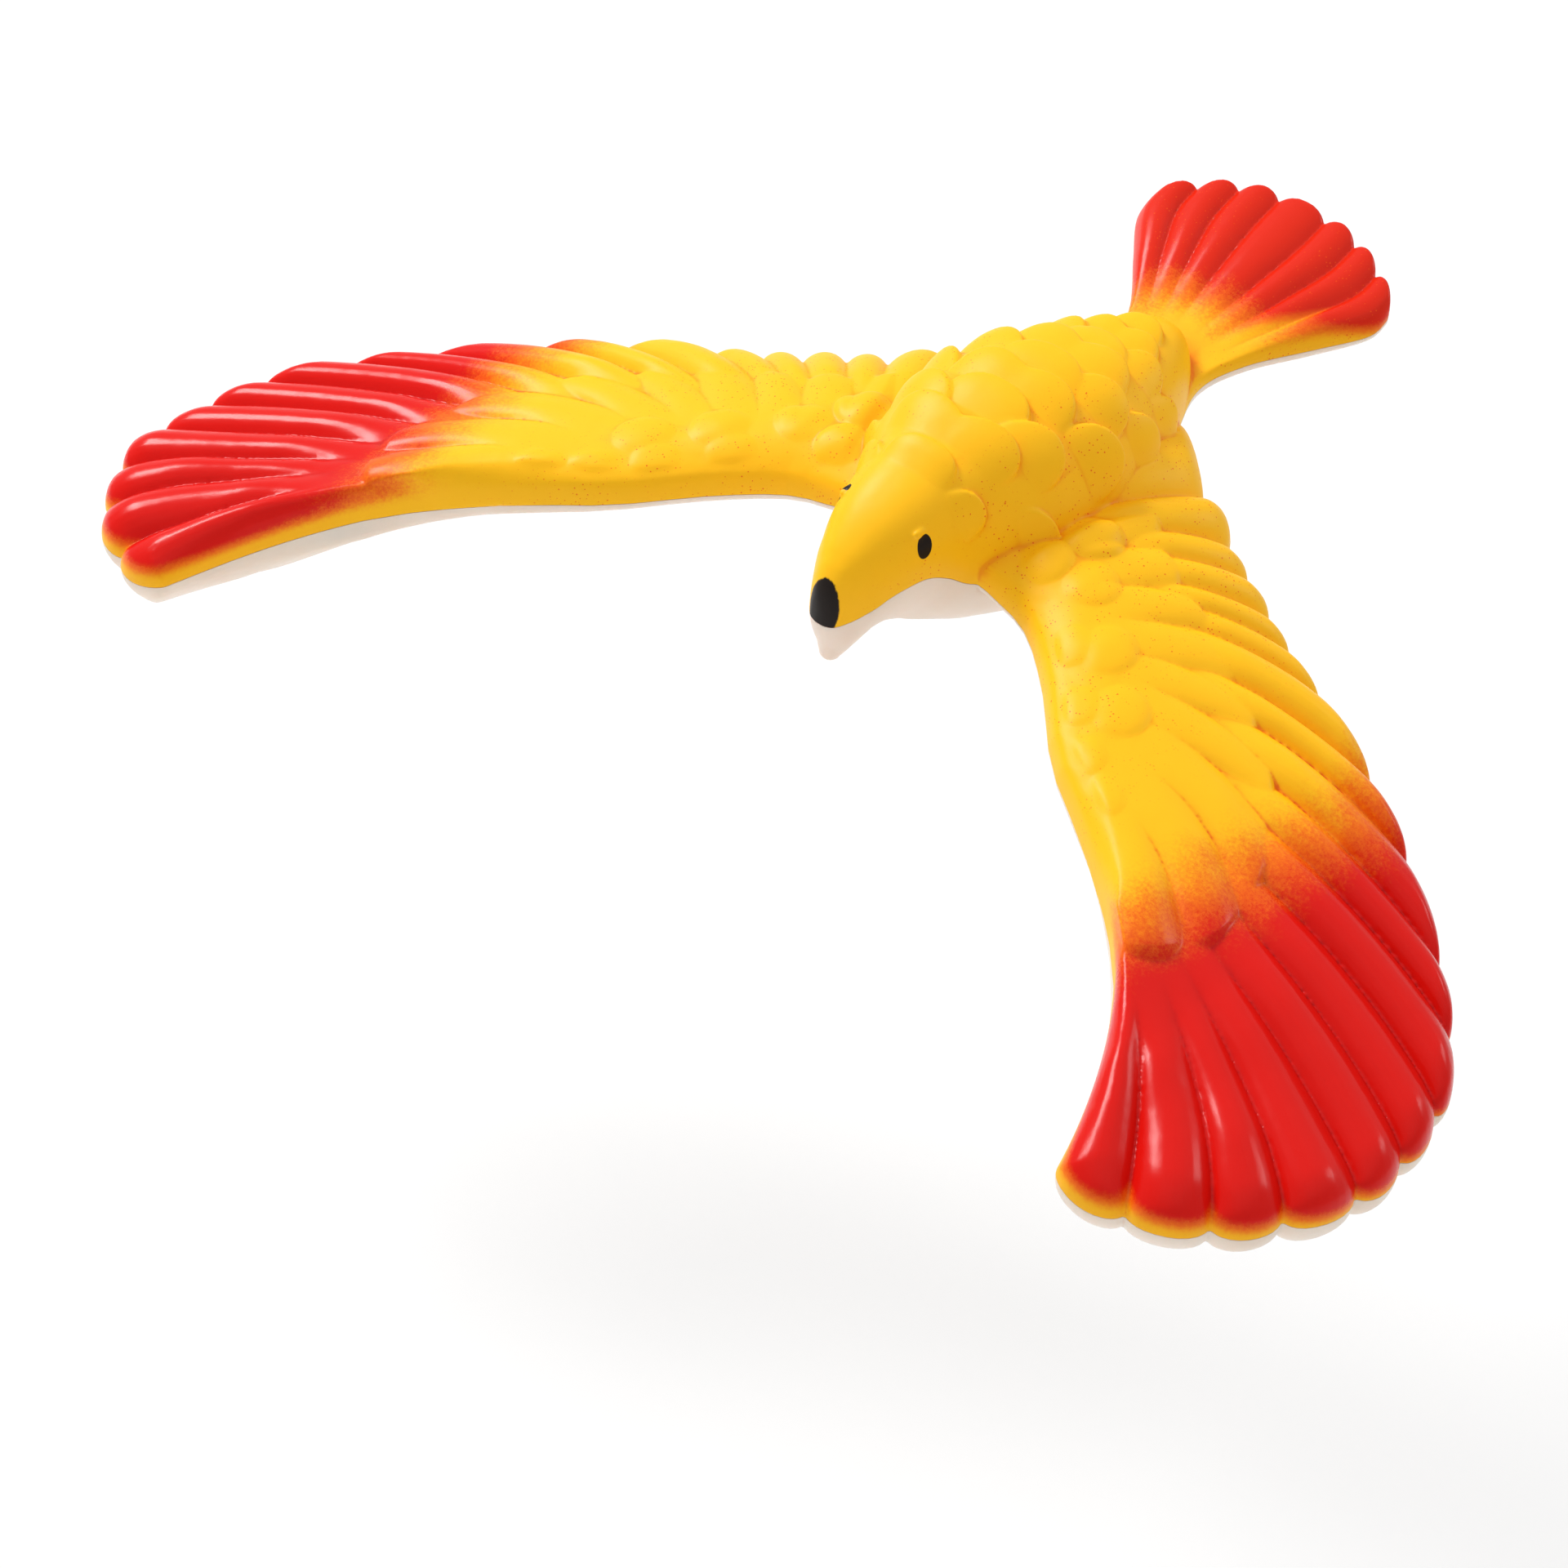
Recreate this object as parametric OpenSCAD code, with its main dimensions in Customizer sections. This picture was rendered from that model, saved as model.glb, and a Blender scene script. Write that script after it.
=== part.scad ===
// Balancing bird toy: two hollow moulded shells joined round a curved seam,
// with a steel slug shut into each wing tip. It stands on the tip of its beak.
// The shells are drawn in the frame of their mould, nose towards -Y and level,
// and then tipped about the beak tip, which is the origin.

/* [Bird] */
// Wing tip to wing tip
wing_span = 172; // [150:1:200]
// Beak tip to the end of the tail, measured along the level bird
body_reach = 86.5; // [76:0.5:98]
// How far the nose points down when the bird balances, in degrees
nose_down = 10; // [4:1:16]

/* [Shells] */
// Wall of both moulded shells
wall = 1.1; // [0.9:0.1:1.4]
// Glue gap left between the two shells along the seam
seam_gap = 0.06; // [0.02:0.01:0.1]
// Height of the seam above the beak tip, on the centre line
crown_z = 7.8; // [6.5:0.1:9]
// How far the seam drops from the centre line to a wing tip
wing_droop = 14; // [9:0.5:18]
// How far the front of the wing is lifted and its back lowered at mid span
wing_twist = 0.7; // [0:0.1:1.5]
// How far the front feathers curl up at the wing tip
tip_curl = 1.3; // [0:0.1:2.5]
// How far the seam climbs from the rump to the end of the tail
tail_lift = 10.2; // [6:0.1:12]

/* [Wings] */
// How far the wing tips reach in front of the beak tip
tip_sweep = 42.5; // [34:0.5:50]
// Height of the upper shell's side wall along the leading edge
lead_wall = 4; // [2.8:0.1:5]
// Height of the upper shell's side wall along the feather ends
feather_wall = 1.5; // [1.3:0.1:2.5]
// How far the wing is crowned between its two edges
wing_crown = 2.2; // [1:0.1:3.5]
// Height of a long feather's ridge above the grooves beside it
feather_ridge = 1.3; // [0.6:0.1:2]
// How far a rounded feather end stands past the grooves beside it
feather_lobe = 2.2; // [1.5:0.1:4]
// Depth of the lower shell at the wing root
root_depth = 1.7; // [1.5:0.1:3]
// Depth of the lower shell round the edge of the wing tip
tip_depth = 3.4; // [3:0.1:4]
// How much deeper the lower shell is in the middle of the wing tip, under the slug
tip_swell = 2.6; // [2.4:0.1:3.5]
// Height of the short covering feathers above the long ones
covert_step = 0.7; // [0.3:0.1:1.2]

/* [Body and head] */
// Half width of the body at its widest
body_half = 14.3; // [12:0.1:16]
// Height of the back above the seam
back_height = 14.2; // [11:0.1:17]
// Depth of the belly below the seam
belly_depth = 9.8; // [7:0.1:12]
// Radius of the beak tip
beak_tip_r = 1.3; // [0.5:0.1:1.6]
// How far a back feather stands proud of the body
scale_step = 0.55; // [0.2:0.05:0.9]
// Length of a back feather along the body
scale_long = 10.5; // [8:0.5:13]

/* [Tail] */
// Half width of the tail fan at its widest
tail_half = 17.5; // [14:0.1:22]
// Half width of the tail at its root
tail_root_half = 6.9; // [5.5:0.1:8]
// How far the middle of the tail's end stands past its corners
tail_bow = 6.4; // [4:0.1:9]
// How far a rounded tail feather end stands past the grooves beside it
tail_lobe = 1.1; // [0.6:0.1:1.6]
// Height of a tail feather's ridge above the grooves beside it
tail_ridge = 1.1; // [0.6:0.1:1.6]
// Height of the tail's side wall above the seam
tail_wall = 1.2; // [1.1:0.1:2]
// Depth of the lower shell along the tail
tail_depth = 1.2; // [1:0.1:2]

/* [Wing tip slugs] */
// Diameter of a steel slug
slug_d = 17; // [14:0.5:17.5]
// Thickness of a steel slug
slug_h = 6.2; // [4:0.1:6.2]
// Play between a slug and the ring that holds it
slug_play = 0.15; // [0.1:0.05:0.3]
// Wall of the ring round a slug
ring_wall = 1; // [0.7:0.1:1.3]
// Air left over a slug, under the post that keeps it down
slug_air = 0.2; // [0.1:0.05:0.4]
// Distance of a slug from the centre line
slug_x = 71; // [69:0.5:72]
// Distance of a slug in front of the beak tip
slug_y = 17.3; // [14:0.1:18]

/* [Locating pins] */
// Diameter of a locating pin under the upper shell
pin_d = 2; // [1.5:0.1:2.5]
// Play between a pin and its socket
pin_play = 0.15; // [0.1:0.05:0.3]
// Wall of a pin's socket
socket_wall = 0.9; // [0.6:0.1:1.2]
// How far a pin reaches past the seam
pin_reach = 1.8; // [1.2:0.1:2.1]

/* [Hidden] */
half_span = wing_span / 2;
feathers = 17;
tail_feathers = 7;
// Half the height of a sheet's rim, and how deep a back feather is sunk in the skin
rim = 0.1;
bite = 0.4;
// Mesh columns to a feather
steps = 3;
// How far rings, posts and sockets inside a shell stay back from the seam
mouth_gap = 0.3;
// A cut or a ring starts this far past the skin that it goes through
past_skin = 12;

function mix(a, b, k) = a + (b - a) * k;
function clamp(v) = max(0, min(1, v));
function ease(v) = let(k = clamp(v)) k * k * (3 - 2 * k);
function ramp(v, r) = ease((v - r[0]) / (r[1] - r[0]));

// A smooth curve through a list of points, read at a share of its length
function curve(p, u) = let(
        n = len(p) - 1, i = min(floor(u * n), n - 1), k = u * n - i,
        a = p[max(i - 1, 0)], b = p[i], c = p[i + 1], d = p[min(i + 2, n)])
    0.5 * (2 * b + (c - a) * k + (2 * a - 5 * b + 4 * c - d) * k * k
        + (3 * b - a - 3 * c + d) * k * k * k);

// A quadratic bend from a to c that leans towards b
function bend(a, b, c, k) = (1 - k) * (1 - k) * a + 2 * k * (1 - k) * b + k * k * c;

// The wall of a shell stands up quickly from the seam and rounds over
function shoulder(d, r) = let(k = clamp(d / r)) sqrt(max(0, 1 - (1 - k) * (1 - k)));

// Outline points are set for the drawn size and stretched to the chosen one, and back
function stretch(y) = y < 0 ? tip_sweep / drawn_sweep : body_reach / drawn_reach;
function placed(p) = [p[0] * half_span / drawn_half_span, p[1] * stretch(p[1])];
function drawn(p) = [p[0] * drawn_half_span / half_span, p[1] / stretch(p[1])];

// Extra height of the seam along the head, against the distance from the beak tip
head_seam = [[-3, -1.9], [0, -0.4], [3, 1.5], [5, 2.5], [7.5, 3], [10, 2.2], [12.5, 0.6], [15, 0]];
// How far from the centre line that extra height fades out
head_fade = [9, 13];
// Across which the wing is twisted, and the line that it is twisted about
twist_span = [20, 62];
twist_axis = 12;
twist_chord = 20;
// Where the wing tip's curl begins and is whole, outwards and forwards
curl_out = [66, 76];
curl_front = [-16, -28];
// Where the seam starts to climb to the tail, and how it climbs
rump_y = 46;
tail_climb = 1.15;

function seam_z(x, y) = let(
        p = drawn([abs(x), y]),
        a = min(p[0] / drawn_half_span, 1),
        t = max(0, p[1] - rump_y) / (drawn_reach - rump_y),
        head = lookup(p[1], head_seam) * (1 - ramp(p[0], head_fade)),
        turn = clamp((p[0] - twist_span[0]) / (twist_span[1] - twist_span[0])),
        twist = wing_twist * sin(180 * turn) * (twist_axis - p[1]) / twist_chord,
        curl = tip_curl * ramp(p[0], curl_out) * ramp(p[1], curl_front))
    crown_z - wing_droop * (2 * a * a - pow(a, 4)) + tail_lift * pow(t, tail_climb) + head + twist + curl;

// Faces of a closed sheet: a top and a bottom grid of nu by nv points, joined round the rim
function sheet_faces(nu, nv) = let(n = nu * nv, m = (nu - 1) * nv) [
    for (i = [0 : nu - 2], j = [0 : nv - 2]) each let(a = i * nv + j, b = a + nv)
        [[a, a + 1, b + 1], [a, b + 1, b], [n + a, n + b + 1, n + a + 1], [n + a, n + b, n + b + 1]],
    for (i = [0 : nu - 2]) each let(a = i * nv, b = a + nv, c = a + nv - 1, d = c + nv)
        [[a, b, n + b], [a, n + b, n + a], [d, c, n + c], [d, n + c, n + d]],
    for (j = [0 : nv - 2])
        each [[j + 1, j, n + j], [j + 1, n + j, n + j + 1],
            [m + j, m + j + 1, n + m + j + 1], [m + j, n + m + j + 1, n + m + j]]
];

module sheet(tops, bottoms) {
    nu = len(tops);
    nv = len(tops[0]);
    polyhedron(points = [for (row = tops) each row, for (row = bottoms) each row],
        faces = sheet_faces(nu, nv));
}

// The space above the seam, which parts the upper shell from the lower one
module above_seam(gap) {
    margin = 2 * feather_lobe;
    top = crown_z + tail_lift + 3 * back_height;
    side = head_fade[1];
    nape = head_seam[len(head_seam) - 1][0];
    half = concat([0, side / 3, head_fade[0], 11, side],
        [for (k = [1 : 13]) mix(side, half_span + margin, k / 13)]);
    xs = concat([for (k = [len(half) - 1 : -1 : 1]) -half[k]], half);
    ys = concat([for (k = [0 : 6]) mix(-tip_sweep - margin, -6, k / 6)],
        [for (p = head_seam) p[0]], [for (k = [1 : 13]) mix(nape, body_reach + margin, k / 13)]);
    sheet([for (x = xs) [for (y = ys) [x, y, top]]],
        [for (x = xs) [for (y = ys) [x, y, seam_z(x, y) + gap]]]);
}

// Leading edge of the left wing, from the neck to the wing tip
lead_line = [[5, 13.5], [10.5, 13.4], [17, 11.8], [24, 6.2], [32, -2], [44, -10], [54, -19.5],
    [60, -31], [63, -40]];
// Where each groove between long feathers ends, from the hip to the wing tip
groove_ends = [[12.5, 46.5], [19, 41.6], [24.3, 38.5], [28.9, 36.3], [33.7, 33.7], [38.3, 31.4],
    [44.3, 29], [54.5, 24], [63, 18.8], [73.4, 10.2], [79, 3.6], [83.8, -5.4], [85, -13],
    [84.7, -20.4], [81.8, -28.6], [77.5, -34.5], [70.7, -39], [63, -40]];
// The point that each groove leans towards on its way
groove_leans = [[9, 38], [16, 34], [20.5, 32], [25, 31], [29, 29], [33, 28.5], [34, 26],
    [38, 22.3], [45, 20.3], [52, 16], [58, 10.5], [64, 3.8], [66, -3], [68, -11],
    [68, -16.5], [66.5, -20.5], [62, -23.5], [60, -28]];
groove_start_share = 0.74;
// Width of the last feather, beside the tip end of the leading edge
last_feather = 5.5;

// The drawn size: the outermost feather ends stand this far past the groove ends
end_past_side = 1;
end_past_front = 2.5;
drawn_half_span = max([for (p = groove_ends) p[0]]) + end_past_side;
drawn_sweep = end_past_front - min([for (p = groove_ends) p[1]]);

function lead_at(v) = curve([for (p = lead_line) placed(p)], v);
function list_at(l, s) = let(i = min(floor(s), len(l) - 2)) mix(placed(l[i]), placed(l[i + 1]), s - i);
function unit(v) = v / max(norm(v), 0.001);
function across(s, n) = s - floor(min(s, n - 0.001));
function round_end(u) = pow(max(0, 1 - pow(2 * u - 1, 2)), 0.6);

// A fan of feathers is [ends, leans, share of the leading edge that it starts along]
long_fan = [groove_ends, groove_leans, groove_start_share];

function fan_size(fan) = len(fan[0]) - 1;
function line_start(fan, s) = lead_at(fan[2] * pow(s / fan_size(fan), 1.05));
function line_lean(fan, s) = list_at(fan[1], s);
function line_end(fan, s, lobe) = let(
        n = fan_size(fan), i = min(floor(s), n - 1), e = list_at(fan[0], s), c = line_lean(fan, s),
        width = norm(placed(fan[0][i + 1]) - placed(fan[0][i])))
    e + unit(e - c) * lobe * min(1.3, width / 8) * round_end(across(s, n));
function line_point(fan, s, t, lobe) =
    bend(line_start(fan, s), line_lean(fan, s), line_end(fan, s, lobe), t);
function line_length(fan, s) = norm(line_end(fan, s, 0) - line_lean(fan, s))
    + norm(line_lean(fan, s) - line_start(fan, s));

// Shares of a line's length at which the mesh has a row, closer together near its two ends
function rows(l, first, last, near, count) = let(a = first / l, b = 1 - last / l, m = len(near) - 1) [
    for (d = near) a + d / l,
    for (k = [1 : count]) mix(a + near[m] / l, b - near[m] / l, k / (count + 1)),
    for (k = [m : -1 : 0]) b - near[k] / l
];
skin_rows = [0, 0.15, 0.7, 2.2];
hollow_rows = [0, 0.5, 2];
covert_rows = [0, 0.4, 1.2];

// Distances out along the wing between which it deepens and swells, the distances in from its
// edge between which it swells, and the shares of a feather between which its ridge grows
deepens_out = [42, 64];
swells_out = [50, 64];
swells_in = [1, 9];
ridge_grows = [0.3, 0.6];
// Radii at which the walls round over, above and below the seam
upper_round = 1.6;
covert_round = 1.5;
lower_round = 3;

// Height of the wing's skin above the seam, at a share of the way from front to back
function wing_rise(t) = mix(lead_wall, feather_wall, t) + wing_crown * 4 * t * (1 - t);
function wing_fall(x, d, cut) = let(u = drawn([x, 0])[0])
    (mix(root_depth, tip_depth, ramp(u, deepens_out)) - cut) * shoulder(d - cut, lower_round - cut)
    + tip_swell * ramp(u, swells_out) * ramp(d, swells_in);
function rim_distance(fan, s, t, l) = min(t * l, (1 - t) * l, (fan_size(fan) - s) * last_feather);

function ridge(u) = sqrt(max(0, 1 - pow(2 * u - 1, 2)));
function long_ridge(s, t) = feather_ridge * ridge(across(s, feathers)) * ramp(t, ridge_grows);

module long_feathers() {
    columns = [for (k = [0 : feathers * steps - 1]) k / steps, feathers - 0.12, feathers - 0.03, feathers];
    grid = [for (s = columns) let(l = line_length(long_fan, s)) [for (t = rows(l, 0, 0, skin_rows, 5))
        [line_point(long_fan, s, t, feather_lobe), s, t, rim_distance(long_fan, s, t, l)]]];
    sheet([for (row = grid) [for (g = row) let(x = g[0][0], y = g[0][1])
            [x, y, seam_z(x, y) + rim
                + (wing_rise(g[2]) + long_ridge(g[1], g[2])) * shoulder(g[3], upper_round)]]],
        [for (row = grid) [for (g = row) let(x = g[0][0], y = g[0][1])
            [x, y, seam_z(x, y) - rim - wing_fall(x, g[3], 0)]]]);
}

module wing_hollow() {
    columns = [for (k = [0 : feathers - 1]) k, feathers - wall / last_feather];
    grid = [for (s = columns)
        let(l = line_length(long_fan, s), lead = wall * mix(1.2, 4.5, pow(s / feathers, 3)))
        [for (t = rows(l, lead, wall, hollow_rows, 4))
            [line_point(long_fan, s, t, feather_lobe), s, t, rim_distance(long_fan, s, t, l)]]];
    sheet([for (row = grid) [for (g = row) let(x = g[0][0], y = g[0][1])
            [x, y, seam_z(x, y) + rim + (wing_rise(g[2]) - wall) * shoulder(g[3] - wall, 0.6)]]],
        [for (row = grid) [for (g = row) let(x = g[0][0], y = g[0][1])
            [x, y, seam_z(x, y) - rim - wing_fall(x, g[3], wall)]]]);
}

// Shorter feathers lie over the front of the long ones, in two rows
middle_ends = [[13, 34], [22, 29.5], [31, 26.5], [38.5, 21.5], [45.5, 15.5], [53, 7], [57.5, -4.5],
    [56, -13], [52, -17.5]];
short_ends = [[12, 27], [19, 24.5], [26, 19], [33.5, 12], [38.5, 3], [42.5, -3.5], [44, -9.5]];
function leans(ends, share, lean) = [for (k = [0 : len(ends) - 1])
    let(a = curve(lead_line, share * pow(k / (len(ends) - 1), 1.05)), b = ends[k])
    mix(a, b, 0.5) + lean * [b[1] - a[1], a[0] - b[0]] / -2];
middle_share = 0.68;
short_share = 0.55;
middle_fan = [middle_ends, leans(middle_ends, middle_share, 0.12), middle_share];
short_fan = [short_ends, leans(short_ends, short_share, 0.1), short_share];
covert_edge = 0.4;
covert_ridge = 0.4;

module covering_feathers(fan, reach, step) {
    n = fan_size(fan);
    columns = [for (k = [0 : n * steps]) k / steps];
    grid = [for (s = columns) let(l = line_length(fan, s))
        [for (t = rows(l, covert_edge, covert_edge, covert_rows, 4))
            [line_point(fan, s, t, feather_lobe), s, t, rim_distance(fan, s, t, l)]]];
    sheet([for (row = grid) [for (g = row) let(x = g[0][0], y = g[0][1])
            [x, y, seam_z(x, y) + rim + (wing_rise(g[2] * reach) + step
                + covert_ridge * ridge(across(g[1], n)) * ease(g[2])) * shoulder(g[3], covert_round)]]],
        [for (row = grid) [for (g = row) let(x = g[0][0], y = g[0][1]) [x, y, seam_z(x, y)]]]);
}

// Body stations: distance behind the beak tip, half width, height above and depth below the seam
body_line = [[-2.4, 0.5, 2.2, 0.8], [-2.1, 1.5, 3.6, 2.1], [-1.5, 2.2, 4.7, 4], [-0.6, 2.9, 5.8, 6.2],
    [0, 3.3, 6.1, 7.3], [0.8, 3.8, 6.5, 7.4], [2, 4.5, 6.7, 6.5], [3, 4.9, 6.8, 6.1], [5, 5.8, 7.1, 7],
    [7.5, 6.7, 7.8, 8.6], [10, 7.6, 9.5, 9.2], [12.5, 8.5, 11.8, 8.7], [15, 9.8, 12.9, 9.1],
    [20, 12.6, 13.8, 9.8], [25, 13.9, 14.2, 9.8], [34, 14.3, 14.2, 8.2], [43, 11.9, 12.4, 6],
    [51, 8.5, 9.5, 3.6], [56, 6, 7.4, 2.5], [59, 3.6, 5.2, 2], [60.4, 0.8, 2.7, 1.6]];
function widest(list, i) = max([for (p = list) p[i]]);
drawn_body_half = widest(body_line, 1);
drawn_back = widest(body_line, 2);
drawn_belly = widest(body_line, 3);
// The head is a wedge below the seam and turns round over these distances behind the beak tip
turns_round = [1, 7];

// A body section is a squared round above the seam and a round or a wedge below it
function body_section(p, a, cut) = let(
        k = 1 / 1.25, up = sign(sin(a)) * pow(abs(sin(a)), k),
        w = p[1] * body_half / drawn_body_half - cut,
        x = w * up, y = placed([0, p[0]])[1],
        high = p[2] * back_height / drawn_back - cut,
        low = p[3] * belly_depth / drawn_belly - cut,
        m = mix(1.15, 2, ramp(p[0], turns_round)))
    [x, y, seam_z(x, y) + rim + high * pow(max(0, cos(a)), k),
        seam_z(x, y) - rim - low * pow(max(0, 1 - pow(abs(up), m)), 1 / m)];

module body_form(cut, line) {
    sides = cut > 0 ? 6 : 9;
    angles = [for (k = [-sides : sides]) k * 90 / sides];
    grid = [for (a = angles) [for (p = line) body_section(p, a, cut)]];
    sheet([for (row = grid) [for (g = row) [g[0], g[1], g[2]]]],
        [for (row = grid) [for (g = row) [g[0], g[1], g[3]]]]);
}

// Half of the tail's outline: half width and distance behind the beak tip
tail_line = [[13, 42], [10.2, 49], [6.9, 58], [8.6, 64], [13.2, 70.3], [17.2, 75.8], [17.5, 79]];
drawn_tail_half = widest(tail_line, 0);
drawn_tail_root = min([for (p = tail_line) p[0]]);
drawn_bow = 6.4;
drawn_reach = widest(tail_line, 1) + drawn_bow + 1.1;
// Where the tail goes over from its root's width to its fan's
fans_out = [60, 76];
tail_ridge_grows = [0.45, 0.75];
tail_run = 42;
tail_feather_width = 5;
tail_round = 1.2;

function tail_point(s, t) = let(
        v = 2 * s / tail_feathers - 1,
        p = curve(tail_line, t),
        k = mix(tail_root_half / drawn_tail_root, tail_half / drawn_tail_half, ramp(p[1], fans_out)),
        x = sign(v) * pow(abs(v), 0.85) * p[0] * k,
        lobe = tail_lobe * round_end(across(s, tail_feathers)),
        y = p[1] + pow(t, 3) * (tail_bow * (1 - v * v) + lobe))
    placed([0, y]) + [x, 0];

module tail_form() {
    n = tail_feathers;
    columns = [0, 0.03, 0.12, for (k = [1 : n * steps - 1]) k / steps, n - 0.12, n - 0.03, n];
    grid = [for (s = columns) [for (t = rows(tail_run, 0, 0, skin_rows, 5))
        [tail_point(s, t), s, t, min((1 - t) * tail_run, min(s, n - s) * tail_feather_width)]]];
    sheet([for (row = grid) [for (g = row) let(x = g[0][0], y = g[0][1])
            [x, y, seam_z(x, y) + rim
                + (tail_wall + tail_ridge * ridge(across(g[1], n)) * ramp(g[2], tail_ridge_grows))
                    * shoulder(g[3], tail_round)]]],
        [for (row = grid) [for (g = row) let(x = g[0][0], y = g[0][1])
            [x, y, seam_z(x, y) - rim - tail_depth * shoulder(g[3], tail_round)]]]);
}

// Back feathers lie in staggered rows, each row one step nearer the tail
scale_first = 12.5;
scale_rows = 7;
scale_pitch = 5.7;
scale_angle = 30;

function body_value(y, i) = lookup(y, [for (p = body_line) [p[0], p[i]]]);
function skin_point(a, y, out) = let(
        g = body_section([y, body_value(y, 1), body_value(y, 2), 0], a, 0),
        slope = clamp(abs(sin(a))))
    [g[0] + out * sign(a) * slope, g[1], g[2] + out * sqrt(1 - slope * slope)];

// One back feather: low where it starts under its neighbours, proud at its free end
module back_feather(a0, y0) {
    across_list = [-0.97, -0.8, -0.4, 0, 0.4, 0.8, 0.97];
    along_list = [-1, 0, 0.75, 1];
    lift = [-0.3, 0.9, 1, 0.45];
    grid = [for (u = across_list) [for (i = [0 : 3]) [
        a0 + u * scale_angle * 0.68,
        y0 + scale_long / 2 * along_list[i] * sqrt(1 - u * u),
        scale_step * min(lift[i], mix(1, 0.45, pow(abs(u) / 0.97, 4)))]]];
    sheet([for (row = grid) [for (g = row) skin_point(g[0], g[1], g[2])]],
        [for (row = grid) [for (g = row) skin_point(g[0], g[1], 0) - [0, 0, bite]]]);
}

module both_sides() {
    children();
    mirror([1, 0, 0]) children();
}

// The raised brow over an eye: angle round the head, distance behind the beak tip and size
brow_angle = 47;
brow_y = 7.6;
brow_size = [1.2, 3.6, 0.9];
module brow() {
    translate(skin_point(brow_angle, brow_y, 0))
        rotate([0, brow_angle, 0]) resize(brow_size) sphere(1, $fn = 12);
}

module back_feathers() {
    for (i = [0 : scale_rows - 1])
        for (k = [-1 : 2])
            if (i % 2 == 1 || k < 2)
                back_feather(scale_angle * (i % 2 == 0 ? k : k - 0.5), scale_first + i * scale_pitch);
}

module bird_form() {
    both_sides() {
        long_feathers();
        covering_feathers(middle_fan, 0.6, covert_step);
        covering_feathers(short_fan, 0.4, covert_step * 1.7);
    }
    body_form(0, body_line);
    tail_form();
    back_feathers();
}

// The body is hollow between these distances behind the beak tip
hollow_body = [1.5, 58];
module hollow_form() {
    both_sides() wing_hollow();
    body_form(wall, [for (p = body_line) if (p[0] > hollow_body[0] && p[0] < hollow_body[1]) p]);
}

// The slug lies in a ring, square to the seam at that place, on the lower shell's floor
floor_slope = 0.8;
seat_z = wall + floor_slope - tip_depth - tip_swell;
slug_top = seat_z + slug_h;
ring_d = slug_d + 2 * (slug_play + ring_wall);
module at_slug() {
    p = placed([slug_x, -slug_y]);
    lean = atan((seam_z(p[0] + 1, p[1]) - seam_z(p[0] - 1, p[1])) / 2);
    translate([p[0], p[1], seam_z(p[0], p[1])]) rotate([0, -lean, 0]) children();
}
module slug_ring() {
    at_slug() translate([0, 0, -past_skin]) cylinder(d = ring_d, h = past_skin - mouth_gap, $fn = 40);
}
module slug_pocket() {
    at_slug() translate([0, 0, seat_z]) cylinder(d = slug_d + 2 * slug_play, h = past_skin, $fn = 40);
}
module slug() {
    at_slug() translate([0, 0, seat_z]) cylinder(d = slug_d, h = slug_h, $fn = 48);
}
// Three ribs stay the ring: their thickness, how far they run out and how much lower they end
rib_t = 1;
rib_run = 4;
rib_drop = 2.5;
module slug_ribs() {
    near = ring_d / 2 - slug_play;
    at_slug() for (a = [30 : 120 : 270]) rotate([0, 0, a]) hull() {
        translate([near, 0, -past_skin]) cylinder(d = rib_t, h = past_skin - 1, $fn = 8);
        translate([near + rib_run, 0, -past_skin])
            cylinder(d = rib_t, h = past_skin - 1 - rib_drop, $fn = 8);
    }
}
// A post under the upper shell keeps the slug down
post_d = 3;
post_root_d = 4.5;
post_h = 5;
module hold_down() {
    at_slug() translate([0, 0, slug_top + slug_air]) hull() {
        cylinder(d = post_d, h = 1, $fn = 16);
        translate([0, 0, post_h]) cylinder(d = post_root_d, h = 1, $fn = 16);
    }
}

// Pins under the upper shell drop into sockets on the lower one
pins = [[0, 20], [0, 46], [57, -3], [-57, -3]];
boss_d = pin_d + 2 * (pin_play + socket_wall);
boss_draft = 0.6;
pin_lead_in = 0.6;
socket_mouth = 1;
module pin_boss(h) {
    hull() {
        cylinder(d = boss_d, h = 0.5, $fn = 12);
        translate([0, 0, h - 0.5]) cylinder(d = boss_d + boss_draft, h = 0.5, $fn = 12);
    }
}
module at_pins() {
    for (p = pins) let(q = placed(p)) translate([q[0], q[1], seam_z(q[0], q[1])]) children();
}

// Everything is drawn level and then tipped to its balance about the beak tip
module tipped() {
    translate([0, 0, beak_tip_r]) rotate([nose_down, 0, 0]) translate([0, 0, -beak_tip_r]) children();
}

module upper_shell() {
    color("gold")
        tipped() {
            difference() {
                intersection() {
                    union() {
                        bird_form();
                        both_sides() brow();
                    }
                    above_seam(0);
                }
                difference() {
                    hollow_form();
                    at_pins() pin_boss(back_height + past_skin);
                    both_sides() hold_down();
                }
            }
            at_pins() hull() {
                translate([0, 0, 0.5 - pin_reach]) cylinder(d = pin_d, h = pin_reach, $fn = 12);
                translate([0, 0, -pin_reach]) cylinder(d = pin_d - pin_lead_in, h = 1, $fn = 12);
            }
        }
}

// The ball of the beak tip is drawn into the beak towards this point
beak_root = [0, 1.6, 4];
beak_root_r = 1.8;

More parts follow.
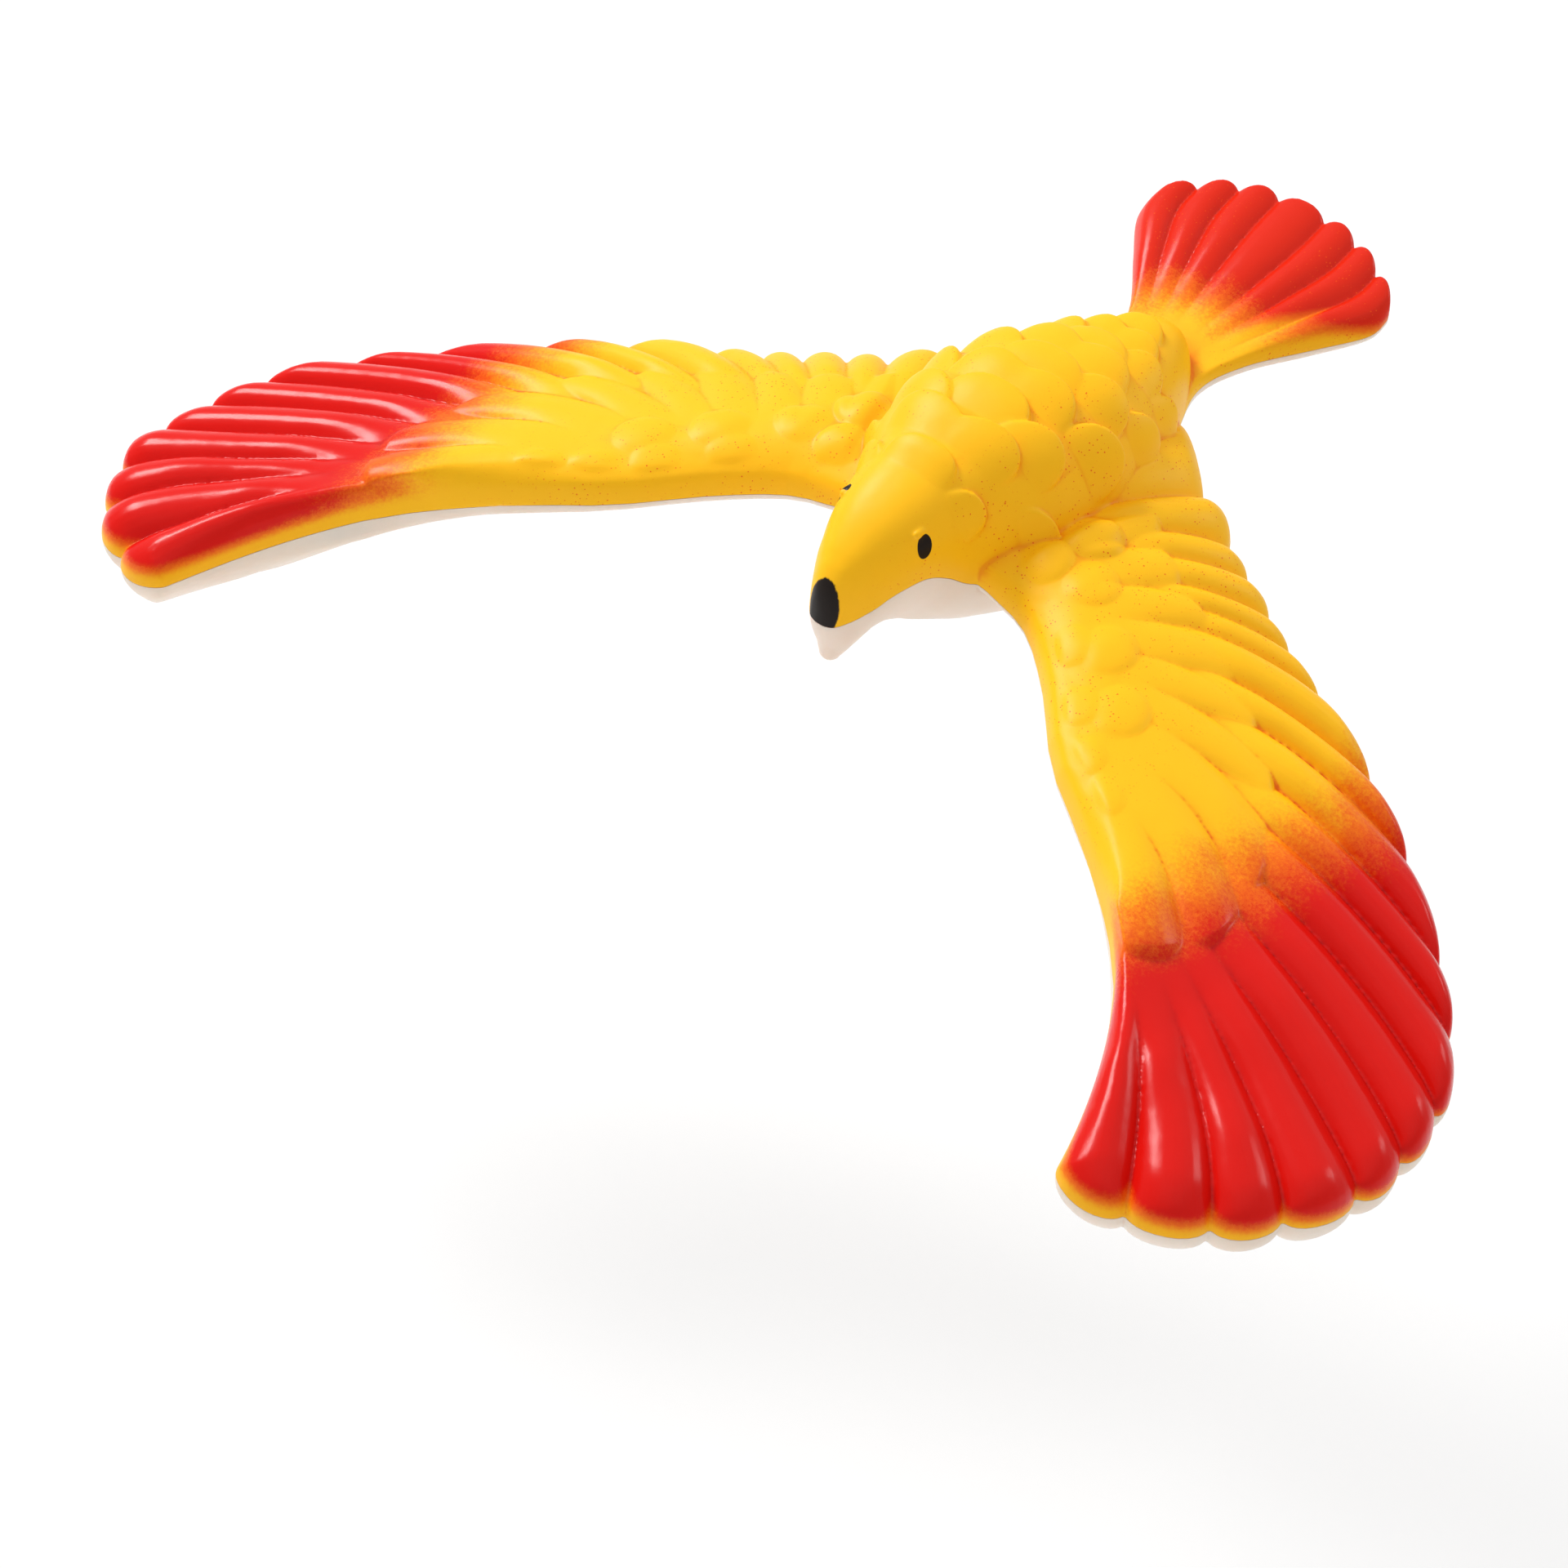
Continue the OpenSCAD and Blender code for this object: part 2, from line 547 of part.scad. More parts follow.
module lower_shell() {
    color("ivory")
        tipped() {
            difference() {
                union() {
                    bird_form();
                    hull() {
                        translate([0, 0, beak_tip_r]) sphere(beak_tip_r, $fn = 20);
                        translate(beak_root) sphere(beak_root_r, $fn = 12);
                    }
                }
                above_seam(-seam_gap);
                difference() {
                    hollow_form();
                    at_pins()
                        translate([0, 0, -mouth_gap])
                            mirror([0, 0, 1]) pin_boss(belly_depth + past_skin);
                    both_sides() {
                        slug_ring();
                        slug_ribs();
                    }
                }
                at_pins() hull() {
                    translate([0, 0, -pin_reach - pin_play])
                        cylinder(d = pin_d + 2 * pin_play, h = pin_reach + 2, $fn = 12);
                    translate([0, 0, -mouth_gap]) cylinder(d = pin_d + socket_mouth, h = 1, $fn = 12);
                }
                both_sides() slug_pocket();
            }
        }
}

module left_weight() {
    color("silver") tipped() slug();
}

module right_weight() {
    color("silver") tipped() mirror([1, 0, 0]) slug();
}

upper_shell();
lower_shell();
left_weight();
right_weight();
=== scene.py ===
import math

import bmesh
import bpy
import numpy as np
from mathutils import Matrix, Vector
from mathutils.bvhtree import BVHTree
from mathutils.kdtree import KDTree


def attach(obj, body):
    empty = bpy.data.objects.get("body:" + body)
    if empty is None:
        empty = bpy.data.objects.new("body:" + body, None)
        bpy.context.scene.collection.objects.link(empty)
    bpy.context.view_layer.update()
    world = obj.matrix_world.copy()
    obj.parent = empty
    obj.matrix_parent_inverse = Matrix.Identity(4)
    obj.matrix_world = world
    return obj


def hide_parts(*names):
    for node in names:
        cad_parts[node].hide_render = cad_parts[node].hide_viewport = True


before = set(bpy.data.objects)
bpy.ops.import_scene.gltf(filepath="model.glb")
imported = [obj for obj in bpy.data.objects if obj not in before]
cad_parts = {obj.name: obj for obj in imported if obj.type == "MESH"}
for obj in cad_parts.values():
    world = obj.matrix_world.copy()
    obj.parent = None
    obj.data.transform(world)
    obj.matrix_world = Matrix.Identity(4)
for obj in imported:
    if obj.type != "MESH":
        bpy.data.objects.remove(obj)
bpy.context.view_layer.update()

# Camera
# The bird is shot from the front and its left, a little above its back, through a long lens.
# The camera is held slightly turned, so the level line runs up to the right.
camera_place = Vector((0.191406, -0.292521, 0.214829))
camera_forward = Vector((-0.45997882, 0.69453082, -0.55321462))
camera_turn = math.radians(11.8)
camera_lens = 86.05
camera_data = bpy.data.cameras.new("camera")
camera_data.lens = camera_lens
camera_data.sensor_width = 36
camera_data.clip_start = 0.01
camera = bpy.data.objects.new("camera", camera_data)
camera.matrix_world = (Matrix.Translation(camera_place)
                       @ camera_forward.to_track_quat("-Z", "Y").to_matrix().to_4x4()
                       @ Matrix.Rotation(camera_turn, 4, "Z"))
bpy.context.scene.collection.objects.link(camera)
bpy.context.scene.camera = camera

# Seam
# The bird is two thin plastic shells glued round a seam that droops to the wing tips, rises to
# the tail and climbs over the cheeks. Its mould lies level, in millimetres, nose towards -Y.
half_span = 86
body_reach = 86.5
crown_height = 7.8
wing_droop = 14
wing_twist, twist_start, twist_length, twist_middle, twist_lever = 0.7, 20, 42, 12, 20
tip_curl, curl_out, curl_ahead = 1.3, (66, 76), (16, 28)
tail_lift = 10.2
tail_climb = 1.15
rump_y = 46
cheek_ends = (9, 13)
head_seam = [(-3, -1.9), (0, -0.4), (3, 1.5), (5, 2.5), (7.5, 3), (10, 2.2), (12.5, 0.6), (15, 0)]


def ramp(v, start, end):
    """Climbs softly from 0 at the start to 1 at the end."""
    k = np.clip((v - start) / (end - start), 0, 1)
    return k * k * (3 - 2 * k)


def smooth_line(points, share):
    """A smooth curve through points, read at shares of its length from 0 to 1."""
    p = np.asarray(points, float)
    last = len(p) - 1
    u = np.clip(np.asarray(share, float), 0, 1) * last
    i = np.minimum(np.floor(u).astype(int), last - 1)
    k = (u - i)[..., None]
    a, b, c, d = p[np.maximum(i - 1, 0)], p[i], p[i + 1], p[np.minimum(i + 2, last)]
    return 0.5 * (2 * b + (c - a) * k + (2 * a - 5 * b + 4 * c - d) * k ** 2
                  + (3 * b - a - 3 * c + d) * k ** 3)


head_seam_line = smooth_line(head_seam, np.linspace(0, 1, 200))


def seam_height(x, y):
    """How high the seam lies over each place in the mould."""
    out = np.abs(x)
    share = np.minimum(out / half_span, 1)
    back = np.maximum(0, y - rump_y) / (body_reach - rump_y)
    head = np.interp(y, head_seam_line[:, 0], head_seam_line[:, 1]) * (1 - ramp(out, *cheek_ends))
    twist_share = np.clip((out - twist_start) / twist_length, 0, 1)
    twist = wing_twist * np.sin(math.pi * twist_share) * (twist_middle - y) / twist_lever
    curl = tip_curl * ramp(out, *curl_out) * ramp(-y, *curl_ahead)
    droop = wing_droop * (2 * share ** 2 - share ** 4)
    return crown_height - droop + tail_lift * back ** tail_climb + head + twist + curl


# Wing feathers
# Each wing is a fan of seventeen long flight feathers with rounded ends. They are moulded in one
# with the shell: a soft ridge to a feather, a sharp groove between two of them.
lead_line = [(5, 13.5), (10.5, 13.4), (17, 11.8), (24, 6.2), (32, -2), (44, -10), (54, -19.5),
             (60, -31), (63, -40)]
groove_ends = [(8.6, 51), (18.4, 42.6), (24.3, 38.5), (28.9, 36.3), (33.7, 33.7), (38.3, 31.4),
               (44.3, 29), (54.5, 24), (63, 18.8), (73.4, 10.2), (79, 3.6), (83.8, -5.4), (85, -13),
               (84.7, -20.4), (81.8, -28.6), (77.5, -34.5), (70.7, -39), (63, -40)]
groove_leans = [(9, 38), (16, 34), (20.5, 32), (25, 31), (29, 29), (33, 28.5), (34, 26), (38, 22.3),
                (45, 20.3), (52, 16), (58, 10.5), (64, 3.8), (66, -3), (68, -11), (68, -16.5),
                (66.5, -20.5), (62, -23.5), (60, -28)]
feathers = len(groove_ends) - 1
line_reach, line_gather = 0.74, 1.05
last_feather = 5.5
rim = 0.1
lead_wall, feather_wall, wing_crown = 4.0, 1.5, 2.2
feather_ridge, ridge_grows, ridge_round = 0.26, (0.3, 0.6), 0.8
under_ridge, under_ridge_in = 0.09, (0.3, 3)
feather_lobe, first_lobe, lobe_round = 2.2, 0.3, 0.6
lobe_width, largest_lobe, widest_feather = 8, 1.3, 9
rim_wall, rim_wall_fades, rim_wall_round = (1.3, 1.2), (0, 0.6), 0.9
lead_round, end_round, round_fades, lower_round = 5.5, 4.0, (0.1, 0.6), 3.0
root_depth, tip_depth, depth_grows = 1.7, 3.4, (42, 64)
tip_swell, swell_out, swell_in = 2.6, (50, 64), (1, 9)
edge_rows = [0, 0.04, 0.12, 0.25, 0.45, 0.7, 1, 1.4, 1.9, 2.6]
feather_columns, feather_rows = 12, 60


def mix(a, b, k):
    return a + (b - a) * k


def shoulder(d, r):
    """A quarter round: 0 at the edge, 1 at a radius in from it."""
    return np.sqrt(np.maximum(0, 1 - (1 - np.clip(d / r, 0, 1)) ** 2))


def arch(across, roundness):
    return np.maximum(0, 1 - (2 * across - 1) ** 2) ** roundness


def ridge(across):
    return arch(across, ridge_round)


def closed_sheet(top, bottom):
    """A closed skin between two grids of points of one size, joined round their rims."""
    nu, nv = top.shape[:2]
    n = nu * nv
    g = np.arange(n).reshape(nu, nv)
    cells = np.stack([g[:-1, :-1], g[1:, :-1], g[1:, 1:], g[:-1, 1:]], -1).reshape(-1, 4)
    edge = np.concatenate([g[:-1, 0], g[-1, :-1], g[:0:-1, -1], g[0, :0:-1]])
    follow = np.roll(edge, -1)
    sides = np.stack([follow, edge, edge + n, follow + n], -1)
    points = np.concatenate([top.reshape(-1, 3), bottom.reshape(-1, 3)])
    return points, np.concatenate([cells, cells[:, ::-1] + n, sides])


def mirrored(skin):
    return skin[0] * [-1, 1, 1], skin[1][:, ::-1]


class Fan:
    """A fan of feathers, given by the start, the lean and the end of each groove line."""

    def __init__(self, starts, leans, ends, lobe, first_lobe=1):
        self.starts, self.leans, self.ends = (np.array(p, float) for p in (starts, leans, ends))
        self.size = len(ends) - 1
        self.lobe, self.first_lobe = lobe, first_lobe

    def at(self, points, s):
        i = np.minimum(np.floor(s).astype(int), self.size - 1)
        return mix(points[i], points[i + 1], (s - i)[..., None])

    def line(self, s, t):
        """Points at shares t along the lines s, and the length of each line."""
        start, lean, end = (self.at(p, s) for p in (self.starts, self.leans, self.ends))
        i = np.minimum(np.floor(s).astype(int), self.size - 1)
        width = np.linalg.norm(self.ends[i + 1] - self.ends[i], axis=-1)
        reach = (end - lean) / np.maximum(np.linalg.norm(end - lean, axis=-1), 0.001)[..., None]
        bulge = arch(s - i, lobe_round) * np.where(s < 1, self.first_lobe, 1)
        length = np.linalg.norm(end - lean, axis=-1) + np.linalg.norm(lean - start, axis=-1)
        end = end + reach * (self.lobe * np.minimum(largest_lobe, width / lobe_width) * bulge)[..., None]
        t = t[..., None]
        a, b, c = start[:, None], lean[:, None], end[:, None]
        return (1 - t) ** 2 * a + 2 * t * (1 - t) * b + t ** 2 * c, length

    def grid(self, columns, near, count):
        """Lines s, shares t, points and distance in from the edge, closer at grooves and ends."""
        turn = (1 - np.cos(np.arange(columns) * math.pi / columns)) / 2
        s = np.append(np.add.outer(np.arange(self.size), turn).ravel(), self.size)
        length = self.line(s, np.zeros((len(s), 1)))[1]
        near = np.asarray(near)
        a = near / length[:, None]
        middle = np.linspace(a[:, -1], 1 - a[:, -1], count + 2, axis=1)[:, 1:-1]
        t = np.concatenate([a, middle, 1 - a[:, ::-1]], 1)
        points = self.line(s, t)[0]
        inward = np.minimum(t, 1 - t) * length[:, None]
        i = np.minimum(np.floor(s), self.size - 1)
        broad = np.linalg.norm(self.line(i + 1, t)[0] - self.line(i, t)[0], axis=-1)
        return s[:, None], t, points[..., 0], points[..., 1], inward, np.minimum(broad, widest_feather)


def wing_rise(t):
    """How high the wing stands over the seam, from its leading edge to the feathers' ends."""
    return mix(lead_wall, feather_wall, t) + wing_crown * 4 * t * (1 - t)


def rounded_rise(high, t, d, round_off):
    """A low wall at the rim, then a soft shoulder up to the full height."""
    wall = mix(*rim_wall, ramp(t, *rim_wall_fades))
    return wall * shoulder(d, rim_wall_round) + (high - wall) * shoulder(d, round_off)


def wing_fall(x, d, cut):
    """How deep the wing hangs under the seam; each tip swells to make room for its weight."""
    deep = mix(root_depth, tip_depth, ramp(x, *depth_grows)) - cut
    swell = tip_swell * ramp(x, *swell_out) * ramp(d, *swell_in)
    return deep * shoulder(d - cut, lower_round - cut) + swell


line_shares = line_reach * (np.arange(feathers + 1) / feathers) ** line_gather
long_fan = Fan(smooth_line(lead_line, line_shares), groove_leans, groove_ends, feather_lobe, first_lobe)


def long_feathers():
    s, t, x, y, d, broad = long_fan.grid(feather_columns, edge_rows, feather_rows)
    d = np.minimum(d, (feathers - s) * last_feather)
    seam = seam_height(x, y)
    grow = ramp(t, *ridge_grows)
    high = wing_rise(t) + feather_ridge * broad * ridge(s % 1) * grow
    high = rounded_rise(high, t, d, mix(lead_round, end_round, ramp(t, *round_fades)))
    deep = wing_fall(x, d, 0) + under_ridge * broad * ridge(s % 1) * grow * ramp(d, *under_ridge_in)
    return closed_sheet(np.stack([x, y, seam + rim + high], -1),
                        np.stack([x, y, seam - rim - deep], -1))


# Covering feathers
# A row of broad feathers lies over the roots of the long ones, each with a blunt end that stops
# in a step. They belong to the upper shell alone and fade out along the leading edge.
cover_starts = [(9, 13.4), (13.4, 13), (17, 11.8), (20, 9.5), (22, 8), (24, 6.2), (27, 3.2), (31, -1),
                (37, -5.6), (47, -12.6)]
cover_leans = [(11, 26), (17.5, 23), (21.5, 20), (26, 17.5), (30, 14.5), (34.5, 12.8), (40, 10.5),
               (44, 6.3), (44.5, -0.6), (50.5, -15.2)]
cover_ends = [(13, 34), (21.5, 29.5), (27.5, 26), (33.5, 24.3), (39.8, 20), (45.6, 15.2), (52.3, 8.3),
              (58, -3.2), (57.9, -12.8), (54.3, -18.9)]
cover_lobe, cover_inset, cover_share = 2.4, 0.3, 0.6
cover_step, step_grows = 0.55, (0, 0.5)
cover_ridge, ridge_middle, cover_ridge_grows = 0.16, 0.45, (0.3, 0.85)
cover_round, cover_round_grows = 1.6, (0.3, 0.6)
cover_sink, cover_under_round, cover_skin, cover_under_share = 0.6, 4.5, 0.1, 0.5
inner_drop, inner_drop_ends = 3, (0, 0.7)
cover_edge_rows, cover_rows = [0.3, 0.36, 0.45, 0.6, 0.85, 1.2, 1.7, 2.4], 40
cover_fan = Fan(cover_starts, cover_leans, cover_ends, cover_lobe)


def covering_feathers():
    s, t, x, y, d, broad = cover_fan.grid(feather_columns, cover_edge_rows, cover_rows)
    seam = seam_height(x, y)
    crowned = cover_ridge * broad * (ridge(s % 1) - ridge_middle) * ramp(t, *cover_ridge_grows)
    lift = cover_step * ramp(t, *step_grows) + crowned
    wing = wing_rise(t * cover_share)
    high = wing + lift - inner_drop * (1 - ramp(s, *inner_drop_ends))
    round_off = mix(lead_round, cover_round, ramp(t, *cover_round_grows))
    high = rounded_rise(high, t, d - cover_inset, round_off)
    low = (wing - cover_sink) * shoulder(d - cover_inset, cover_under_round)
    low = np.minimum(low, high - cover_skin) * cover_under_share
    return closed_sheet(np.stack([x, y, seam + rim + high], -1),
                        np.stack([x, y, seam + rim + low], -1))


# Body and head
# One smooth form runs from the beak to the rump, a squared round above the seam and a wedge under
# the beak that turns into a round belly. Both shells carry their half of it.
body_line = [(-2.4, 0.5, 2.2, 0.8), (-2.1, 1.5, 3.6, 2.1), (-1.5, 2.2, 4.7, 4), (-0.6, 2.9, 5.8, 6.2),
             (0, 3.3, 6.1, 7.3), (0.8, 3.8, 6.5, 7.4), (2, 4.5, 6.7, 7.1), (3, 4.9, 6.8, 6.9),
             (5, 5.8, 7.1, 7.3), (7.5, 6.7, 7.8, 8.6), (10, 7.6, 9.5, 9.2), (12.5, 8.5, 11.8, 8.7),
             (15, 9.8, 12.9, 9.1), (20, 12.6, 13.8, 9.8), (25, 13.9, 14.2, 9.8), (34, 14.3, 14.2, 8.2),
             (43, 11.9, 12.4, 6), (51, 8.5, 9.5, 3.6), (56, 6, 7.4, 2.5), (59, 3.6, 5.2, 2),
             (60.4, 0.8, 2.7, 1.6)]
body_square = 1 / 1.25
keel_round, belly_round, keel_ends = 1.6, 2, (1, 7)
body_rings, body_turns = 181, 81


def body_section(station, angle, cut=0):
    """The skin of the body at one station or more: x, y, its top and its bottom."""
    y, wide, high, low = np.moveaxis(np.asarray(station, float), -1, 0)
    out = np.sign(np.sin(angle)) * np.abs(np.sin(angle)) ** body_square
    x = (wide - cut) * out
    m = mix(keel_round, belly_round, ramp(y, *keel_ends))
    seam = seam_height(x, y)
    top = seam + rim + (high - cut) * np.maximum(0, np.cos(angle)) ** body_square
    bottom = seam - rim - (low - cut) * np.maximum(0, 1 - np.abs(out) ** m) ** (1 / m)
    return x, y + 0 * x, top, bottom


def body_form(cut=0, first=-9, last=99):
    stations = smooth_line(body_line, np.linspace(0, 1, body_rings))
    stations = stations[(stations[:, 0] > first) & (stations[:, 0] < last)]
    angle = np.linspace(-math.pi / 2, math.pi / 2, body_turns)[:, None]
    x, y, top, bottom = body_section(stations[None], angle, cut)
    return closed_sheet(np.stack([x, y, top], -1), np.stack([x, y, bottom], -1))


# Beak tip
# The lower shell ends in a small ball under the beak, which is the point that the bird stands on.
# It is moulded in one with that shell, on a blunt root that runs up into the chin.
beak_tip_r = 1.3
ball_centre = Vector((0, 0, beak_tip_r))
ball_root = Vector((0, 0.6, 5.2))
ball_root_r = 2.6
ball_rings, root_rings, ball_turns = 11, 9, 32


def round_faces(turns, rings):
    g = np.arange(turns * rings).reshape(turns, rings)
    h = np.roll(g, -1, axis=0)
    return np.stack([g[:, :-1], h[:, :-1], h[:, 1:], g[:, 1:]], -1).reshape(-1, 4)


def beak_ball():
    low = np.linspace(-math.pi / 2, 0, ball_rings)
    high = np.linspace(0, math.pi / 2, root_rings)
    up = np.concatenate([beak_tip_r * (1 + np.sin(low)), ball_root.z + ball_root_r * np.sin(high)])
    radius = np.concatenate([beak_tip_r * np.cos(low), ball_root_r * np.cos(high)])
    back = np.concatenate([low * 0, high * 0 + ball_root.y])
    turn = np.linspace(0, 2 * math.pi, ball_turns + 1)[:-1, None]
    points = np.stack([radius * np.cos(turn), back + radius * np.sin(turn), up + 0 * turn], -1)
    return points.reshape(-1, 3), round_faces(*points.shape[:2])


# Back feathers
# Short rounded feathers overlap down the neck and back in staggered rows, like roof tiles. Each
# starts flat under its neighbours and stands proud at its free end, which points to the tail.
feather_places = [(15.4, 0, 8, 4.0), (14.8, 6.4, 7, 2.8), (21.6, 3.9, 10, 4.6), (21.8, 11.6, 8, 4.2),
                  (27.6, 0, 10.5, 4.7), (26, 7.6, 10.5, 4.8), (32.5, 3.7, 10.5, 4.7),
                  (33.2, 11.4, 11, 5.2), (37.4, 0, 10.5, 4.6), (38.5, 7.9, 11, 4.9),
                  (41.2, 12.2, 10, 4.6), (43.4, 4.1, 10.5, 4.5), (47, 0, 9.5, 4.1),
                  (48.6, 6.3, 10, 4.1), (47.8, 10.6, 9, 3.8), (51.6, 3, 9, 3.6), (55.2, 0, 8, 3.4)]
feather_step, step_length = 1.15, 10
root_step, end_step, crown_step, crown_grows = 0.05, 0.75, 0.65, (-0.5, 0.7)
crown_round, end_edge_round = 0.55, 0.4
feather_sink, feather_root = 0.2, 0.9
overlap, inside_edge, steepest = 1.02, 0.995, 0.97
points_across, points_along = 33, 41
station_table = smooth_line(body_line, np.linspace(0, 1, 400))


def body_skin(angle, y, out):
    """A point that stands out from the back by a distance, at an angle round the body."""
    table = station_table.T
    station = np.stack([y] + [np.interp(y, table[0], column) for column in table[1:]], -1)
    x, y, top, _ = body_section(station, angle)
    lean = np.clip(np.abs(np.sin(angle)), 0, 1)
    return np.stack([x + out * np.sign(angle) * lean, y, top + out * np.sqrt(1 - lean ** 2)], -1)


def back_feather(x, end, length, half_width):
    """One feather, by its place across, where it ends, its length and half its width."""
    wide = np.interp(end - length / 2, station_table[:, 0], station_table[:, 1])
    middle = math.asin(min(steepest, (abs(x) / wide) ** (1 / body_square))) * np.sign(x)
    half_turn = half_width / wide * overlap
    proud = feather_step * length / step_length
    u = np.sin(np.linspace(-1, 1, points_across) * math.pi / 2)[:, None] * inside_edge
    v = np.sin(np.linspace(-1, 1, points_along) * math.pi / 2)[None]
    y = end - length / 2 + v * length / 2 * np.sqrt(1 - u ** 2) + 0 * u
    angle = middle + u * half_turn + 0 * v
    bow = np.maximum(0, 1 - u ** 2) ** crown_round
    back = v * np.sqrt(1 - u ** 2)
    inward = (1 - np.sqrt(np.minimum(1, u ** 2 + back ** 2))) * half_width
    rise = root_step + end_step * back + crown_step * bow * ramp(back, *crown_grows)
    out = rise * shoulder(inward, end_edge_round) * proud - feather_sink
    return closed_sheet(body_skin(angle, y, out), body_skin(angle, y, out * 0 - feather_root))


def back_feathers():
    skins = []
    for end, x, length, half_width in feather_places:
        for side in ((1, -1) if x else (1,)):
            skins.append(back_feather(side * x, end, length, half_width))
    return skins


# Tail
# The tail is a flat fan of seven ridged feathers, turned up behind the rump. It is moulded in one
# with the same two shells, which carry half its thickness each.
tail_line = [(12, 42), (8.6, 50.5), (6.4, 57.5), (8.4, 63.5), (13.2, 70.3), (17, 75.8), (17.3, 79)]
tail_feathers = 7
tail_bow, tail_lobe, tail_gather = 6.4, 1.1, 0.85
tail_ridge, tail_under_ridge, tail_ridge_grows = 1.1, 0.5, (0.45, 0.75)
tail_wall, tail_depth, tail_round = 1.2, 1.2, 1.2
tail_run, tail_feather_width = 42, 5


def tail_points(s, t):
    """The plan of the tail: s counts feathers from the right side, t runs from root to end."""
    v = 2 * s / tail_feathers - 1
    p = smooth_line(tail_line, t)
    y = p[..., 1] + t ** 3 * (tail_bow * (1 - v ** 2) + tail_lobe * arch(s % 1, lobe_round))
    return np.sign(v) * np.abs(v) ** tail_gather * p[..., 0], y


def tail_form():
    turn = (1 - np.cos(np.arange(feather_columns) * math.pi / feather_columns)) / 2
    s = np.append(np.add.outer(np.arange(tail_feathers), turn).ravel(), tail_feathers)[:, None]
    near = np.array(edge_rows) / tail_run
    middle = np.linspace(near[-1], 1 - near[-1], feather_rows + 2)[1:-1]
    t = np.concatenate([near, middle, 1 - near[::-1]])[None] + 0 * s
    x, y = tail_points(s, t)
    d = np.minimum((1 - t) * tail_run, np.minimum(s, tail_feathers - s) * tail_feather_width)
    seam = seam_height(x, y)
    swell = ridge(s % 1) * ramp(t, *tail_ridge_grows)
    high = (tail_wall + tail_ridge * swell) * shoulder(d, tail_round)
    deep = (tail_depth + tail_under_ridge * swell) * shoulder(d, tail_round)
    return closed_sheet(np.stack([x, y, seam + rim + high], -1),
                        np.stack([x, y, seam - rim - deep], -1))


# Small wing root feathers
# Two rows of small round feathers cover the leading edge near the body. Each is a low dome on the
# wing's skin whose outer end stands proud.
root_feathers = [(15.5, 23.8, 4.6, 3.7, 10, 1.1), (14.2, 17.8, 3.6, 3.4, 35, 0.7), (20, 18.3, 4, 3.4, 0, 0.5),
                 (27.2, 12, 3.9, 3.7, 20, 0.5), (33.4, 6, 4, 3.8, 25, 0.5), (23.5, 10, 3.6, 3, 5, 0.3),
                 (29.3, 3.8, 3.5, 3, 5, 0.3), (34, -1.4, 3.6, 3, 0, 0.3), (39, -4.6, 3.7, 3, -8, 0.3)]
dome_fall, dome_round, dome_grows, dome_end_round = 0.25, 0.6, (-1.1, 0.2), 0.5
dome_rise, dome_sink, dome_root = 1.35, 0.3, 0.8
dome_across, dome_along = 25, 29
lead_gap, lead_height, lead_sink, lead_grows, lead_inset = 0.4, 0.5, -0.5, (0.5, 3), 0.6
high_up = 60
lead_curve = smooth_line(lead_line, np.linspace(0, 1, 300))


def dome(skin_tree, x0, y0, half_length, half_width, heading, high):
    """One small feather, set on the skin under it and kept behind the leading edge."""
    turn = math.radians(heading)
    u = np.sin(np.linspace(-1, 1, dome_across) * math.pi / 2)[:, None] * inside_edge
    v = np.sin(np.linspace(-1, 1, dome_along) * math.pi / 2)[None]
    forward = v * half_length * np.sqrt(1 - u ** 2)
    across = u * half_width + 0 * v
    x = x0 + forward * math.cos(turn) - across * math.sin(turn)
    y = y0 + forward * math.sin(turn) + across * math.cos(turn)
    ground = np.empty_like(x)
    for k, (px, py) in enumerate(zip(x.ravel(), y.ravel())):
        hit = skin_tree.ray_cast(Vector((px, py, high_up)), Vector((0, 0, -1)))[0]
        ground.flat[k] = hit.z if hit else seam_height(px, py)
    bow = np.maximum(0, 1 - u ** 2 - dome_fall * v ** 2 * (1 - u ** 2)) ** dome_round
    swell = bow * ramp(v, *dome_grows) * shoulder(1 - v, dome_end_round)
    out = high * (swell * dome_rise - dome_sink) + 0 * u
    gap = y - np.interp(x, lead_curve[:, 0], lead_curve[:, 1])
    ground = np.where(gap > lead_gap, ground, seam_height(x, y) + lead_height)
    out = np.where(gap > lead_gap, mix(lead_sink, out, ramp(gap, *lead_grows)), 0)
    y = y + np.maximum(0, lead_inset - gap)
    return closed_sheet(np.stack([x, y, ground + out], -1),
                        np.stack([x, y, ground + out - dome_root], -1))


# Hollow
# The shells are about a millimetre thick, so the body and each wing are hollow. The space in them
# is shaped here as a form of its own, which is then taken out of both shells.
wall_thickness = 1.1
hollow_ends = (1.5, 58)
front_walls, hollow_round = (1.2, 4.5), 0.6
first_hollow_line, hollow_lines, hollow_rows = 0.5, 70, 50


def wing_hollow():
    s = np.linspace(first_hollow_line, feathers - wall_thickness / last_feather, hollow_lines)
    length = long_fan.line(s, np.zeros((hollow_lines, 1)))[1]
    front = wall_thickness * mix(*front_walls, (s / feathers) ** 3) / length
    t = mix(front[:, None], 1 - wall_thickness / length[:, None], np.linspace(0, 1, hollow_rows)[None])
    points = long_fan.line(s, t)[0]
    x, y = points[..., 0], points[..., 1]
    d = np.minimum(np.minimum(t, 1 - t) * length[:, None], (feathers - s[:, None]) * last_feather)
    seam = seam_height(x, y)
    high = (wing_rise(t) - wall_thickness) * shoulder(d - wall_thickness, hollow_round)
    return closed_sheet(np.stack([x, y, seam + rim + high], -1),
                        np.stack([x, y, seam - rim - wing_fall(x, d, wall_thickness)], -1))


